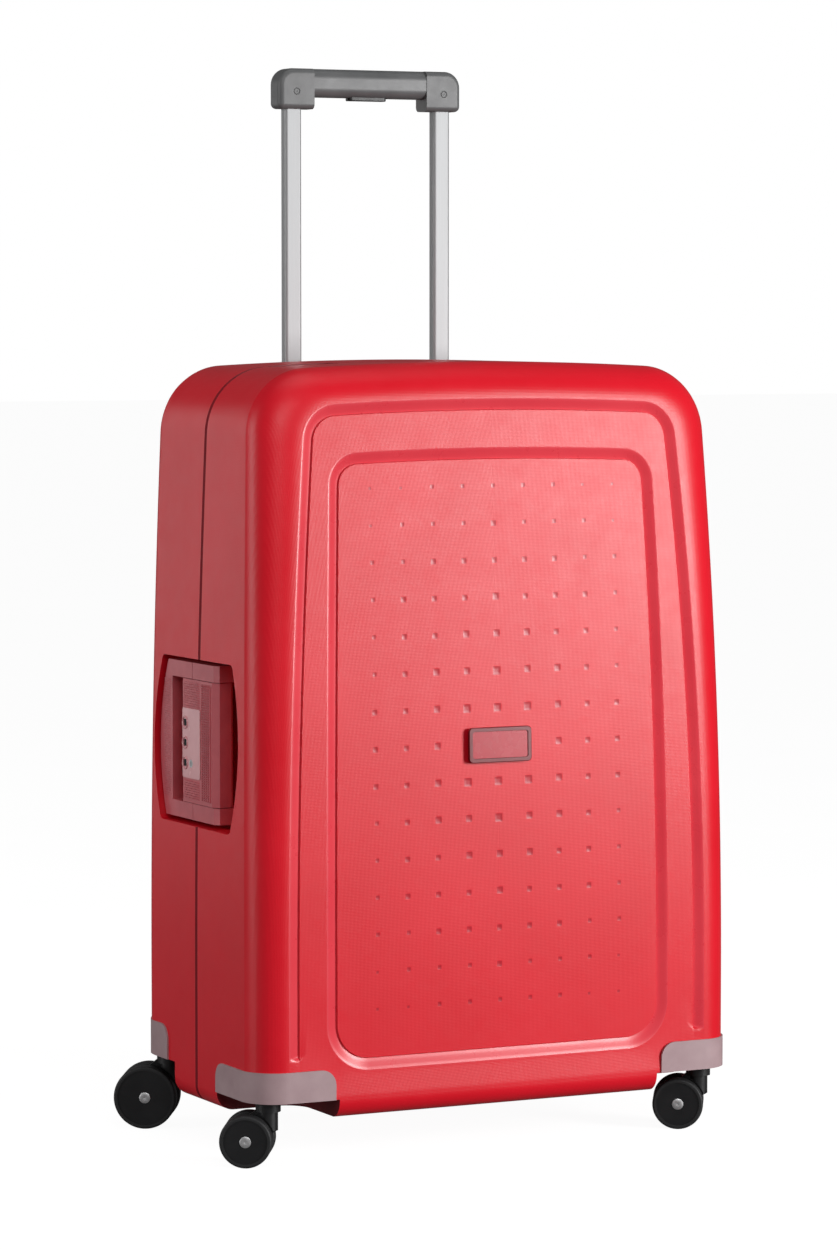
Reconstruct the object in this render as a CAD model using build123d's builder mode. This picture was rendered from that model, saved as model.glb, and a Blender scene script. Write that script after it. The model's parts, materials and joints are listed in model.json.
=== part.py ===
"""Hard-shell four-wheel suitcase: two moulded half shells on a side hinge, a side lock with
three dials, a carry handle, two rim latches, a telescopic handle and four twin-wheel casters.

Millimetres, +Z up.  The shells are modelled about the case's middle plane (X = 0) and the
parting plane (Y = 0) with the floor at Z = 0; every piece is moved by FOOTPRINT when it is
saved, which puts the origin at the centre of the footprint.
"""

from build123d import *
from math import asin, cos, degrees, radians, sin
import os

os.makedirs("parts", exist_ok=True)

# ---------------------------------------------------------------- driving dimensions
FOOTPRINT = Location((12.5, -10.5, 0))

WALL = 2.6
PARTING_GAP = 0.4
RUNNING = 0.06
HALF_WIDTH = 237.0
HALF_WIDTH_TOP = 223.5
FRONT_DEPTH = 129.0
FRONT_LEAN = 25.0
LEAN_START = 130.0
LEAN_END = 720.0
BACK_DEPTH = 135.0
FLOOR_GAP = 40.0
TAPER_START = 150.0
CROWN_Z = 696.0
SHOULDER_Z = 688.0
SHOULDER_RADIUS = 60.0
FRONT_ROUND = 30.0
BACK_ROUND = 46.0
KEEL_ROUND = 16.0

FRONT_BAY_TOP = 57.0
BACK_BAY_TOP = 70.0
FRONT_BAY_X = 158.0
BACK_BAY_X = 148.0
FRONT_BAY_Y = 44.0
BACK_BAY_Y = 48.0
BAY_ROUND = 24.0
BAY_REACH = 320.0

GUARD_THICKNESS = 1.6
GUARD_ROUND = 14.0
FRONT_GUARD_HEIGHT = 27.0
BACK_GUARD_HEIGHT = 31.0

POCKET_DEPTH = 33.0
POCKET_TOP = 434.0
POCKET_BOTTOM = 286.0
POCKET_MIDDLE = (POCKET_TOP + POCKET_BOTTOM) / 2

LATCH_X = -132.0
LATCH_LENGTH = 60.0
LATCH_WIDTH = 24.0
LATCH_THICKNESS = 4.0
LATCH_POCKET = 7.0
LATCH_GAP = 1.0
LATCH_PIN_RADIUS = 1.2
LATCH_EYE = 2.6
KEEPER_THICKNESS = 0.8
LATCH_PIVOT_Y = -9.6
LATCH_TOP_PIVOT = 689.2
LATCH_LOW_PIVOT = 43.8

HINGE_PIN_RADIUS = 1.6
HINGE_KNUCKLE_RADIUS = 3.4
HINGE_LENGTH = 44.0
HINGE_SIDE_GAP = 0.6
HINGE_REACH = 14.0
HINGE_LEAF = 2.0
HINGE_LEAF_OFFSET = 3.2
HINGE_LOW = Vector(242.2, 0, 145)
HINGE_HIGH = Vector(232.9, 0, 600)

CASTER_X = 215.0
FRONT_CASTER_Y = -104.0
BACK_CASTER_Y = 112.0
CASTER_TURN = 31.0
FRONT_WHEEL_RADIUS = 23.0
BACK_WHEEL_RADIUS = 28.5
FRONT_TRAIL = 18.0
BACK_TRAIL = 20.0
SOCKET_NECK = 9.0

TUBE_X = 76.0
TUBE_Y = 144.0
TUBE_WIDTH = 17.0
TUBE_DEPTH = 11.0
TUBE_WALL = 1.2
TUBE_LENGTH = 545.0
HANDLE_TOP = 962.0
HANDLE_TRAVEL = 258.0
GRIP_HEIGHT = 26.0
GRIP_DEPTH = 22.0
CAP_OUTER = 93.0
CAP_INNER = 57.5
CAP_HEIGHT = 37.0


def save(builder, label):
    """Label a finished piece, move it to the footprint's frame and write it."""
    builder.part.label = label
    placed = builder.part.moved(FOOTPRINT)
    placed.label = label
    export_step(placed, f"parts/{label}.step")


# ---------------------------------------------------------------- case form
def case_half(front, inset):
    """One half of the case as a solid form, every outer face moved in by inset."""
    keel, width, top = FLOOR_GAP + inset, HALF_WIDTH - inset, HALF_WIDTH_TOP - inset
    shoulder = SHOULDER_Z - inset
    depth = (FRONT_DEPTH if front else BACK_DEPTH) - inset
    side = -1 if front else 1
    bay_x = (FRONT_BAY_X if front else BACK_BAY_X) - inset
    bay_y = (FRONT_BAY_Y if front else BACK_BAY_Y) - inset
    bay_top = (FRONT_BAY_TOP if front else BACK_BAY_TOP) + inset
    with BuildPart() as form:
        with BuildSketch(Plane.XZ) as outline:
            with BuildLine():
                Polyline((-width, TAPER_START), (-width, keel), (width, keel), (width, TAPER_START))
                for turn in (-1, 1):
                    TangentArc((turn * width, TAPER_START), (turn * top, shoulder), tangent=(0, 1))
                ThreePointArc((top, shoulder), (0, CROWN_Z - inset), (-top, shoulder))
            make_face()
            fillet(outline.vertices().group_by(Axis.Y)[-1], SHOULDER_RADIUS - inset)
        extrude(amount=-side * depth)
        if front:
            with BuildSketch(Plane.YZ):
                with BuildLine():
                    Polyline((-depth, LEAN_START), (-depth, 0), (1, 0), (1, LEAN_END),
                             (FRONT_LEAN - depth, LEAN_END))
                    TangentArc((-depth, LEAN_START), (FRONT_LEAN - depth, LEAN_END), tangent=(0, 1))
                make_face()
            extrude(amount=HALF_WIDTH + 10, both=True, mode=Mode.INTERSECT)
        with BuildSketch(Plane.XY):
            for turn in (-1, 1):
                with Locations((turn * (bay_x + BAY_REACH / 2), side * (bay_y + BAY_REACH / 2))):
                    RectangleRounded(BAY_REACH, BAY_REACH, BAY_ROUND + inset)
        extrude(amount=bay_top, mode=Mode.SUBTRACT)
        rim = form.edges().filter_by(lambda e: on_face_rim(e, side, depth))
        fillet(rim.filter_by(lambda e: e.center().Z > BACK_BAY_TOP + 5), FRONT_ROUND - inset
               if front else BACK_ROUND - inset)
        if inset >= 0:
            keel_edges = form.edges().filter_by(Axis.X).filter_by(
                lambda e: abs(e.center().Y - side * depth) < 1 and e.center().Z < keel + 1)
            fillet(keel_edges, KEEL_ROUND - inset)
    return form.part


def on_face_rim(edge, side, depth):
    """Whether an edge bounds the outermost face of a half: near it, and not inside it."""
    start, end = edge @ 0, edge @ 1
    limit = FRONT_LEAN if side < 0 else 0
    deep = all(side * p.Y > depth - limit - 1 for p in (start, end))
    wide = any(abs(p.X) > FRONT_BAY_X for p in (start, end))
    across = abs(start.X - end.X) > HALF_WIDTH
    return deep and wide and not (across and start.Z < SHOULDER_Z - SHOULDER_RADIUS)


def side_pocket(grow):
    """Lens-shaped pocket in the left side for the lock and carry handle, grown by grow."""
    top, bottom = POCKET_TOP + grow, POCKET_BOTTOM - grow
    with BuildPart() as pocket:
        with BuildSketch(Plane.YZ.offset(-HALF_WIDTH - 10)):
            with BuildLine():
                Line((-70 - grow, bottom), (82 + grow, bottom))
                ThreePointArc((82 + grow, bottom), (94 + grow, POCKET_MIDDLE), (77 + grow, top))
                Line((77 + grow, top), (-70 - grow, top))
                ThreePointArc((-70 - grow, top), (-88 - grow, POCKET_MIDDLE), (-70 - grow, bottom))
            make_face()
        extrude(amount=10 + POCKET_DEPTH + grow)
        fillet(pocket.edges().filter_by(Axis.X), 7 + grow)
    return pocket.part


def latch_pocket(top, grow):
    """Pocket across the parting line for one rim latch, grown by grow."""
    floor = CROWN_Z - 3 - LATCH_POCKET - grow if top else FLOOR_GAP + LATCH_POCKET + grow
    with BuildPart() as pocket:
        with BuildSketch(Plane.XY.offset(floor)):
            with Locations((LATCH_X, 0)):
                RectangleRounded(LATCH_LENGTH + 2 * LATCH_GAP + 2 * grow,
                                 LATCH_WIDTH + 2 * LATCH_GAP + 2 * grow, 3)
        extrude(amount=40 if top else -40)
    return pocket.part


def half_shell(front):
    """One moulded half: case form less its cavity, with walls round every pocket."""
    outer, cavity = case_half(front, 0), case_half(front, WALL)
    pockets = [side_pocket(0), latch_pocket(True, 0), latch_pocket(False, 0)]
    grown = [side_pocket(WALL), latch_pocket(True, WALL), latch_pocket(False, WALL)]
    with BuildPart() as hollow:
        add(cavity)
        add(grown, mode=Mode.SUBTRACT)
    with BuildPart() as shell:
        add(outer)
        add(pockets, mode=Mode.SUBTRACT)
        add(hollow.part, mode=Mode.SUBTRACT)
    side = -1 if front else 1
    return shell.part.moved(Location((0, side * PARTING_GAP / 2, 0)))


def caster_y(front):
    """Distance of a pair of caster stems from the parting plane."""
    return FRONT_CASTER_Y if front else BACK_CASTER_Y


# ---------------------------------------------------------------- shells
front_form = half_shell(True)
with BuildPart() as front_shell:
    add(front_form)
    with BuildSketch(Plane.YZ.offset(LATCH_X - LATCH_LENGTH / 2 - 4)):
        with Locations((LATCH_PIVOT_Y, LATCH_TOP_PIVOT), (LATCH_PIVOT_Y, LATCH_LOW_PIVOT)):
            Circle(LATCH_PIN_RADIUS)
    extrude(amount=LATCH_LENGTH + 8, mode=Mode.SUBTRACT)
    with BuildSketch(Plane.XY.offset(FRONT_BAY_TOP - 2)):
        with Locations((-CASTER_X, FRONT_CASTER_Y), (CASTER_X, FRONT_CASTER_Y)):
            Circle(SOCKET_NECK)
    extrude(amount=WALL + 4, mode=Mode.SUBTRACT)
save(front_shell, "front_shell")

back_form = half_shell(False)
with BuildPart() as back_shell:
    add(back_form)
    with BuildSketch(Plane.XY.offset(BACK_BAY_TOP - 2)):
        with Locations((-CASTER_X, BACK_CASTER_Y), (CASTER_X, BACK_CASTER_Y)):
            Circle(SOCKET_NECK)
    extrude(amount=WALL + 4, mode=Mode.SUBTRACT)
save(back_shell, "back_shell")


# ---------------------------------------------------------------- corner guards
def corner_guard(front, turn):
    """Bumper skin on one lower corner, following the shell just above its wheel bay."""
    inner, outer = case_half(front, 0), case_half(front, -GUARD_THICKNESS)
    low = FRONT_BAY_TOP if front else BACK_BAY_TOP
    high = low + (FRONT_GUARD_HEIGHT if front else BACK_GUARD_HEIGHT)
    bay_x = FRONT_BAY_X if front else BACK_BAY_X
    near = FRONT_BAY_Y if front else BACK_BAY_Y + 14
    side = -1 if front else 1
    with BuildPart() as guard:
        with BuildSketch(Plane.XY.offset(low)):
            with Locations((turn * (bay_x + 4 + 60), side * (near + 60))):
                Rectangle(120, 120)
        extrude(amount=high - low)
        with BuildSketch(Plane.XZ):
            with Locations((turn * (bay_x + 4 + 60), high - 60)):
                RectangleRounded(120, 120, GUARD_ROUND)
        extrude(amount=2 * BACK_DEPTH, both=True, mode=Mode.INTERSECT)
        with BuildSketch(Plane.YZ):
            with Locations((side * (near + 60), high - 60)):
                RectangleRounded(120, 120, GUARD_ROUND)
        extrude(amount=2 * HALF_WIDTH, both=True, mode=Mode.INTERSECT)
        add(outer, mode=Mode.INTERSECT)
        add(inner, mode=Mode.SUBTRACT)
    return guard.part.moved(Location((0, side * PARTING_GAP / 2, 0)))


for front, end in ((True, "front"), (False, "back")):
    for turn, hand in ((-1, "left"), (1, "right")):
        guard_form = corner_guard(front, turn)
        with BuildPart() as guard:
            add(guard_form)
        save(guard, f"corner_guard_{end}_{hand}")


# ---------------------------------------------------------------- hinges
HINGE_LINE = HINGE_HIGH - HINGE_LOW


def hinge_plane(level):
    """Plane across the hinge line at a height, its normal along the line."""
    centre = HINGE_LOW + HINGE_LINE * ((level - HINGE_LOW.Z) / HINGE_LINE.Z)
    return Plane(origin=centre, x_dir=(0, 1, 0), z_dir=HINGE_LINE)


def hinge_knuckles(side):
    """Both hinges' knuckles and leaves on one half; the front half has the middle knuckle."""
    third = HINGE_LENGTH / 3
    with BuildPart() as leaves:
        for level in (HINGE_LOW.Z, HINGE_HIGH.Z):
            offsets = (0,) if side < 0 else (-third, third)
            for offset in offsets:
                length = third - HINGE_SIDE_GAP
                plane = hinge_plane(level).offset(offset - length / 2)
                with BuildSketch(plane):
                    Circle(HINGE_KNUCKLE_RADIUS)
                    with Locations((side * HINGE_REACH / 2, HINGE_LEAF_OFFSET)):
                        Rectangle(HINGE_REACH, HINGE_LEAF)
                    Circle(HINGE_PIN_RADIUS + RUNNING, mode=Mode.SUBTRACT)
                extrude(amount=length)
    return leaves.part


for side, label in ((-1, "hinge_leaves_front"), (1, "hinge_leaves_back")):
    leaves_form = hinge_knuckles(side)
    with BuildPart() as hinge_leaves:
        add(leaves_form)
    save(hinge_leaves, label)

with BuildPart() as hinge_pins:
    for level in (HINGE_LOW.Z, HINGE_HIGH.Z):
        with BuildSketch(hinge_plane(level).offset(-HINGE_LENGTH / 2)):
            Circle(HINGE_PIN_RADIUS)
        extrude(amount=HINGE_LENGTH)
save(hinge_pins, "hinge_pins")


# ---------------------------------------------------------------- rim latches
def latch_lever(top):
    """Latch lever lying flush in its pocket, with its pivot hole near the front edge."""
    pivot = LATCH_TOP_PIVOT if top else LATCH_LOW_PIVOT
    up = 1 if top else -1
    with BuildPart() as lever:
        with BuildSketch(Plane.YZ.offset(LATCH_X - LATCH_LENGTH / 2)):
            with Locations((LATCH_PIVOT_Y, pivot)):
                Circle(LATCH_EYE)
            with Locations(((LATCH_WIDTH / 2 + LATCH_PIVOT_Y) / 2, pivot + up * 0.8)):
                Rectangle(LATCH_WIDTH / 2 - LATCH_PIVOT_Y, LATCH_THICKNESS - 0.6)
            with Locations((LATCH_PIVOT_Y, pivot)):
                Circle(LATCH_PIN_RADIUS + RUNNING, mode=Mode.SUBTRACT)
        extrude(amount=LATCH_LENGTH)
        free_edges = lever.edges().filter_by(Axis.X).group_by(Axis.Y)[-1]
        fillet(free_edges, 1.2)
    return lever.part


for top, label in ((True, "top_latch_lever"), (False, "bottom_latch_lever")):
    lever_form = latch_lever(top)
    with BuildPart() as lever:
        add(lever_form)
    save(lever, label)

with BuildPart() as latch_pins:
    with BuildSketch(Plane.YZ.offset(LATCH_X - LATCH_LENGTH / 2 - 3)):
        with Locations((LATCH_PIVOT_Y, LATCH_TOP_PIVOT), (LATCH_PIVOT_Y, LATCH_LOW_PIVOT)):
            Circle(LATCH_PIN_RADIUS)
    extrude(amount=LATCH_LENGTH + 6)
save(latch_pins, "latch_pins")

with BuildPart() as latch_keepers:
    top_floor = CROWN_Z - 3 - LATCH_POCKET
    low_floor = FLOOR_GAP + LATCH_POCKET
    for level in (top_floor, low_floor - KEEPER_THICKNESS):
        with BuildSketch(Plane.XY.offset(level)):
            with Locations((LATCH_X, 6.5)):
                RectangleRounded(LATCH_LENGTH * 0.6, 8, 1.5)
        extrude(amount=KEEPER_THICKNESS)
save(latch_keepers, "latch_keepers")


# ---------------------------------------------------------------- side lock
POCKET_FLOOR = -HALF_WIDTH + POCKET_DEPTH
LOCK_FACE = -231.0
LOCK_INNER = LOCK_FACE + 19.0
LOCK_PIVOT_X = LOCK_INNER - 5.0
LOCK_PIVOT_Y = -22.0
LEVER_LOW, LEVER_HIGH = 305.0, 415.0
LEVER_FREE_Y = 43.0
LEVER_HINGE_Y = -28.0
CAP_SPLIT_Y = 21.0
HANDLE_LOW, HANDLE_HIGH = 290.0, 430.0
DIAL_RADIUS = 7.5
DIAL_THICKNESS = 5.0
DIAL_Y = 34.5
DIAL_LEVELS = (340.0, 358.0, 376.0)
DIAL_AXIS_X = LOCK_FACE + DIAL_RADIUS - 1.0
PLATE_LOW, PLATE_HIGH = 327.0, 389.0
PLATE_LENGTH = 38.0
PLATE_THICKNESS = 0.8
KEY_Y = 22.0
KEY_LEVEL = 340.0
KEY_RADIUS = 3.6

with BuildPart() as lock_frame:
    for low, high in ((HANDLE_LOW, LEVER_LOW - 0.5), (LEVER_HIGH + 0.5, HANDLE_HIGH)):
        with BuildSketch(Plane.XY.offset(low)):
            with BuildLine():
                Polyline((POCKET_FLOOR - 1.2, CAP_SPLIT_Y - 0.3), (LOCK_FACE + 0.5, CAP_SPLIT_Y - 0.3),
                         (LOCK_FACE + 0.5, LEVER_HINGE_Y + 3), (LOCK_FACE + 4, LEVER_HINGE_Y - 2),
                         (POCKET_FLOOR - 1.2, LEVER_HINGE_Y - 2),
                         close=True)
            make_face()
            with Locations((POCKET_FLOOR - 0.6, -13)):
                Rectangle(1.2, 30)
        extrude(amount=high - low)
    pin_ends = ((HANDLE_LOW + 8, LEVER_LOW), (LEVER_HIGH, HANDLE_HIGH - 8))
    for low, high in pin_ends:
        with BuildSketch(Plane.XY.offset(low)):
            with Locations((LOCK_PIVOT_X, LOCK_PIVOT_Y)):
                Circle(LATCH_PIN_RADIUS)
        extrude(amount=high - low, mode=Mode.SUBTRACT)
save(lock_frame, "lock_frame")

with BuildPart() as lock_lever:
    with BuildSketch(Plane.XY.offset(LEVER_LOW)):
        with BuildLine():
            Polyline((LOCK_INNER, LEVER_FREE_Y), (LOCK_FACE + 2, LEVER_FREE_Y),
                     (LOCK_FACE, LEVER_FREE_Y - 2), (LOCK_FACE, LEVER_HINGE_Y + 6),
                     (LOCK_FACE + 5, LEVER_HINGE_Y), (LOCK_INNER - 3, LEVER_HINGE_Y),
                     (LOCK_INNER, LEVER_HINGE_Y + 3), close=True)
        make_face()
        with Locations((LOCK_PIVOT_X, LOCK_PIVOT_Y)):
            Circle(LATCH_PIN_RADIUS + RUNNING, mode=Mode.SUBTRACT)
    extrude(amount=LEVER_HIGH - LEVER_LOW)
    for level in DIAL_LEVELS:
        with BuildSketch(Plane.XY.offset(level - DIAL_THICKNESS / 2 - 0.6)):
            with Locations((DIAL_AXIS_X, DIAL_Y)):
                Circle(DIAL_RADIUS + 0.6)
        extrude(amount=DIAL_THICKNESS + 1.2, mode=Mode.SUBTRACT)
    with BuildSketch(Plane.XY.offset(DIAL_LEVELS[0] - 10)):
        with Locations((DIAL_AXIS_X, DIAL_Y)):
            Circle(LATCH_PIN_RADIUS)
    extrude(amount=DIAL_LEVELS[-1] - DIAL_LEVELS[0] + 20, mode=Mode.SUBTRACT)
    with BuildSketch(Plane.YZ.offset(LOCK_FACE - 1)):
        with Locations((KEY_Y, KEY_LEVEL)):
            Circle(KEY_RADIUS + RUNNING)
    extrude(amount=11, mode=Mode.SUBTRACT)
save(lock_lever, "lock_lever")

with BuildPart() as lock_pivot_pin:
    with BuildSketch(Plane.XY.offset(HANDLE_LOW + 8)):
        with Locations((LOCK_PIVOT_X, LOCK_PIVOT_Y)):
            Circle(LATCH_PIN_RADIUS)
    extrude(amount=HANDLE_HIGH - HANDLE_LOW - 16)
save(lock_pivot_pin, "lock_pivot_pin")

with BuildPart() as lock_dial_axle:
    with BuildSketch(Plane.XY.offset(DIAL_LEVELS[0] - 10)):
        with Locations((DIAL_AXIS_X, DIAL_Y)):
            Circle(LATCH_PIN_RADIUS)
    extrude(amount=DIAL_LEVELS[-1] - DIAL_LEVELS[0] + 20)
save(lock_dial_axle, "lock_dial_axle")

for number, level in enumerate(DIAL_LEVELS, start=1):
    with BuildPart() as dial:
        with BuildSketch(Plane.XY.offset(level - DIAL_THICKNESS / 2)):
            with Locations((DIAL_AXIS_X, DIAL_Y)):
                Circle(DIAL_RADIUS)
                with PolarLocations(DIAL_RADIUS, 10):
                    Circle(0.7, mode=Mode.SUBTRACT)
                Circle(LATCH_PIN_RADIUS + RUNNING, mode=Mode.SUBTRACT)
        extrude(amount=DIAL_THICKNESS)
    save(dial, f"lock_dial_{number}")

with BuildPart() as lock_plate:
    with BuildSketch(Plane.YZ.offset(LOCK_FACE - PLATE_THICKNESS)):
        with Locations((LEVER_FREE_Y - 2.5 - PLATE_LENGTH / 2, (PLATE_LOW + PLATE_HIGH) / 2)):
            RectangleRounded(PLATE_LENGTH, PLATE_HIGH - PLATE_LOW, 2)
        with Locations([(DIAL_Y, level) for level in DIAL_LEVELS]):
            Rectangle(8.6, DIAL_THICKNESS + 1.2, mode=Mode.SUBTRACT)
        with Locations((KEY_Y, KEY_LEVEL)):
            Circle(KEY_RADIUS + RUNNING, mode=Mode.SUBTRACT)
    extrude(amount=PLATE_THICKNESS)
save(lock_plate, "lock_plate")

with BuildPart() as lock_key_cylinder:
    with BuildSketch(Plane.YZ.offset(LOCK_FACE - PLATE_THICKNESS)):
        with Locations((KEY_Y, KEY_LEVEL)):
            Circle(KEY_RADIUS)
    extrude(amount=10)
    with BuildSketch(Plane.YZ.offset(LOCK_FACE - PLATE_THICKNESS)):
        with Locations((KEY_Y, KEY_LEVEL)):
            SlotOverall(4.4, 1.2, rotation=90)
    extrude(amount=4, mode=Mode.SUBTRACT)
save(lock_key_cylinder, "lock_key_cylinder")

# ---------------------------------------------------------------- carry handle
with BuildPart() as carry_handle:
    with BuildSketch(Plane.YZ.offset(LOCK_FACE + 0.5)):
        with BuildLine():
            Line((CAP_SPLIT_Y + 0.3, HANDLE_LOW), (80, HANDLE_LOW))
            ThreePointArc((80, HANDLE_LOW), (92, POCKET_MIDDLE), (74, HANDLE_HIGH))
            Line((74, HANDLE_HIGH), (CAP_SPLIT_Y + 0.3, HANDLE_HIGH))
            Line((CAP_SPLIT_Y + 0.3, HANDLE_HIGH), (CAP_SPLIT_Y + 0.3, HANDLE_LOW))
        make_face()
        with Locations((CAP_SPLIT_Y + 22, POCKET_MIDDLE)):
            Rectangle(44.6, LEVER_HIGH - LEVER_LOW + 1, mode=Mode.SUBTRACT)
    extrude(amount=POCKET_FLOOR - LOCK_FACE - 0.5)
    with BuildSketch(Plane.YZ.offset(LOCK_FACE + 14)):
        with Locations((80, POCKET_MIDDLE)):
            Rectangle(60, LEVER_HIGH - LEVER_LOW + 1)
    extrude(amount=20, mode=Mode.SUBTRACT)
    fillet(carry_handle.edges().filter_by(Axis.X).group_by(Axis.Y)[-1], 5)
save(carry_handle, "carry_handle")

# ---------------------------------------------------------------- badge
BADGE_LEVEL = 360.0
LEAN_RADIUS = ((LEAN_END - LEAN_START) ** 2 + FRONT_LEAN ** 2) / (2 * FRONT_LEAN)
BADGE_TILT = degrees(asin((BADGE_LEVEL - LEAN_START) / LEAN_RADIUS))
BADGE_FACE = LEAN_RADIUS * (1 - cos(radians(BADGE_TILT))) - FRONT_DEPTH - PARTING_GAP / 2
badge_plane = Plane(origin=(0, BADGE_FACE, BADGE_LEVEL), x_dir=(1, 0, 0),
                    z_dir=(0, -cos(radians(BADGE_TILT)), sin(radians(BADGE_TILT))))

with BuildPart() as badge_frame:
    with BuildSketch(badge_plane.offset(0.05)):
        RectangleRounded(62, 31, 4)
        RectangleRounded(55, 24, 2.5, mode=Mode.SUBTRACT)
    extrude(amount=2.2)
    chamfer(badge_frame.edges().group_by(Axis.Y)[0], 0.6)
save(badge_frame, "badge_frame")

with BuildPart() as badge_plate:
    with BuildSketch(badge_plane.offset(0.05)):
        RectangleRounded(54.4, 23.4, 2.2)
    extrude(amount=1.4)
save(badge_plate, "badge_plate")


# ---------------------------------------------------------------- telescopic handle
HOUSING_BACK = 154.0
HOUSING_HALF = 100.0
HOUSING_LOW, HOUSING_HIGH = 74.0, 662.0
HOUSING_WALL = 2.4
COLLAR_TOP = 666.0
TUBE_TOP = HANDLE_TOP - 20.0
CHANNEL_GAP = 0.4
CHANNEL_WALL = 1.2
SHELL_BACK = BACK_DEPTH + PARTING_GAP / 2
BUTTON_TRAVEL = 3.0
ROD_RADIUS = 1.5
TUBE_SPOTS = [(-TUBE_X, TUBE_Y), (TUBE_X, TUBE_Y)]
SCREW_RADIUS, SCREW_HEAD_RADIUS, SCREW_HEAD = 1.6, 3.2, 1.4
SCREW_SPOTS = [(x, z) for z in (110.0, 340.0, 620.0) for x in (-40.0, 40.0)]

with BuildPart() as trolley_housing:
    with BuildSketch(Plane.XY.offset(HOUSING_LOW)):
        with Locations((0, (SHELL_BACK + HOUSING_BACK) / 2)):
            Rectangle(2 * HOUSING_HALF, HOUSING_BACK - SHELL_BACK)
    extrude(amount=HOUSING_HIGH - HOUSING_LOW)
    fillet(trolley_housing.edges().filter_by(Axis.Z).group_by(Axis.Y)[-1], 8)
    inside_back = HOUSING_BACK - HOUSING_WALL
    with BuildSketch(Plane.XY.offset(HOUSING_LOW + HOUSING_WALL)):
        with Locations((0, (SHELL_BACK + inside_back) / 2 - 1)):
            Rectangle(2 * (HOUSING_HALF - HOUSING_WALL), inside_back - SHELL_BACK + 2)
    extrude(amount=HOUSING_HIGH - HOUSING_LOW - 2 * HOUSING_WALL, mode=Mode.SUBTRACT)
    with BuildSketch(Plane.XY.offset(HOUSING_HIGH - 10)):
        with Locations(TUBE_SPOTS):
            Rectangle(TUBE_WIDTH + 4, 14.6)
    extrude(amount=20, mode=Mode.SUBTRACT)
    with BuildSketch(Plane.XZ.offset(-HOUSING_BACK)):
        with Locations(SCREW_SPOTS):
            Circle(SCREW_HEAD_RADIUS)
    extrude(amount=SCREW_HEAD, mode=Mode.SUBTRACT)
    with BuildSketch(Plane.XZ.offset(-HOUSING_BACK)):
        with Locations(SCREW_SPOTS):
            Circle(SCREW_RADIUS)
    extrude(amount=8, mode=Mode.SUBTRACT)
save(trolley_housing, "trolley_housing")

with BuildPart() as trolley_housing_screws:
    with BuildSketch(Plane.XZ.offset(-HOUSING_BACK)):
        with Locations(SCREW_SPOTS):
            Circle(SCREW_HEAD_RADIUS)
    extrude(amount=SCREW_HEAD)
    fillet(trolley_housing_screws.edges().group_by(Axis.Y)[-1], 0.7)
    with BuildSketch(Plane.XZ.offset(SCREW_HEAD - HOUSING_BACK)):
        with Locations(SCREW_SPOTS):
            Circle(SCREW_RADIUS)
    extrude(amount=HOUSING_BACK - SHELL_BACK - 2 - SCREW_HEAD)
save(trolley_housing_screws, "trolley_housing_screws")

with BuildPart() as trolley_channels:
    with BuildSketch(Plane.XY.offset(HOUSING_LOW + 6)):
        with Locations(TUBE_SPOTS):
            outer = CHANNEL_GAP + CHANNEL_WALL
            RectangleRounded(TUBE_WIDTH + 2 * outer, TUBE_DEPTH + 2 * outer, 3 + outer)
            RectangleRounded(TUBE_WIDTH + 2 * CHANNEL_GAP, TUBE_DEPTH + 2 * CHANNEL_GAP,
                             3 + CHANNEL_GAP, mode=Mode.SUBTRACT)
    extrude(amount=HOUSING_HIGH - HOUSING_LOW - 8)
save(trolley_channels, "trolley_channels")

with BuildPart() as trolley_foot_bracket:
    with BuildSketch(Plane.XY.offset(HOUSING_LOW + HOUSING_WALL)):
        with Locations((0, TUBE_Y)):
            RectangleRounded(2 * TUBE_X + TUBE_WIDTH + 6, 14, 3)
    extrude(amount=6 - HOUSING_WALL)
save(trolley_foot_bracket, "trolley_foot_bracket")

with BuildPart() as trolley_collar:
    with BuildSketch(Plane.XY.offset(HOUSING_HIGH)):
        with Locations((0, 144.5)):
            RectangleRounded(2 * TUBE_X + TUBE_WIDTH + 14, 17, 4)
        with Locations(TUBE_SPOTS):
            RectangleRounded(TUBE_WIDTH + 2 * CHANNEL_GAP, TUBE_DEPTH + 2 * CHANNEL_GAP,
                             3 + CHANNEL_GAP, mode=Mode.SUBTRACT)
    extrude(amount=COLLAR_TOP - HOUSING_HIGH)
    fillet(trolley_collar.edges().group_by(Axis.Z)[-1], 0.8)
save(trolley_collar, "trolley_collar")

with BuildPart() as trolley_tubes:
    with BuildSketch(Plane.XY.offset(TUBE_TOP - TUBE_LENGTH)):
        with Locations(TUBE_SPOTS):
            RectangleRounded(TUBE_WIDTH, TUBE_DEPTH, 3)
            RectangleRounded(TUBE_WIDTH - 2 * TUBE_WALL, TUBE_DEPTH - 2 * TUBE_WALL,
                             3 - TUBE_WALL, mode=Mode.SUBTRACT)
    extrude(amount=TUBE_LENGTH)
save(trolley_tubes, "trolley_tubes")

with BuildPart() as trolley_lock_plugs:
    with BuildSketch(Plane.XY.offset(TUBE_TOP - TUBE_LENGTH)):
        with Locations(TUBE_SPOTS):
            RectangleRounded(TUBE_WIDTH - 2 * TUBE_WALL, TUBE_DEPTH - 2 * TUBE_WALL,
                             3 - TUBE_WALL)
    extrude(amount=30)
save(trolley_lock_plugs, "trolley_lock_plugs")

GRIP_LOW = HANDLE_TOP - GRIP_HEIGHT
BAR_LOW = TUBE_TOP + 2.0
BAR_HEIGHT = 6.0
TUNNEL_WIDTH = 9.0
BUTTON_LENGTH, BUTTON_WIDTH = 40.0, 11.0

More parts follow.
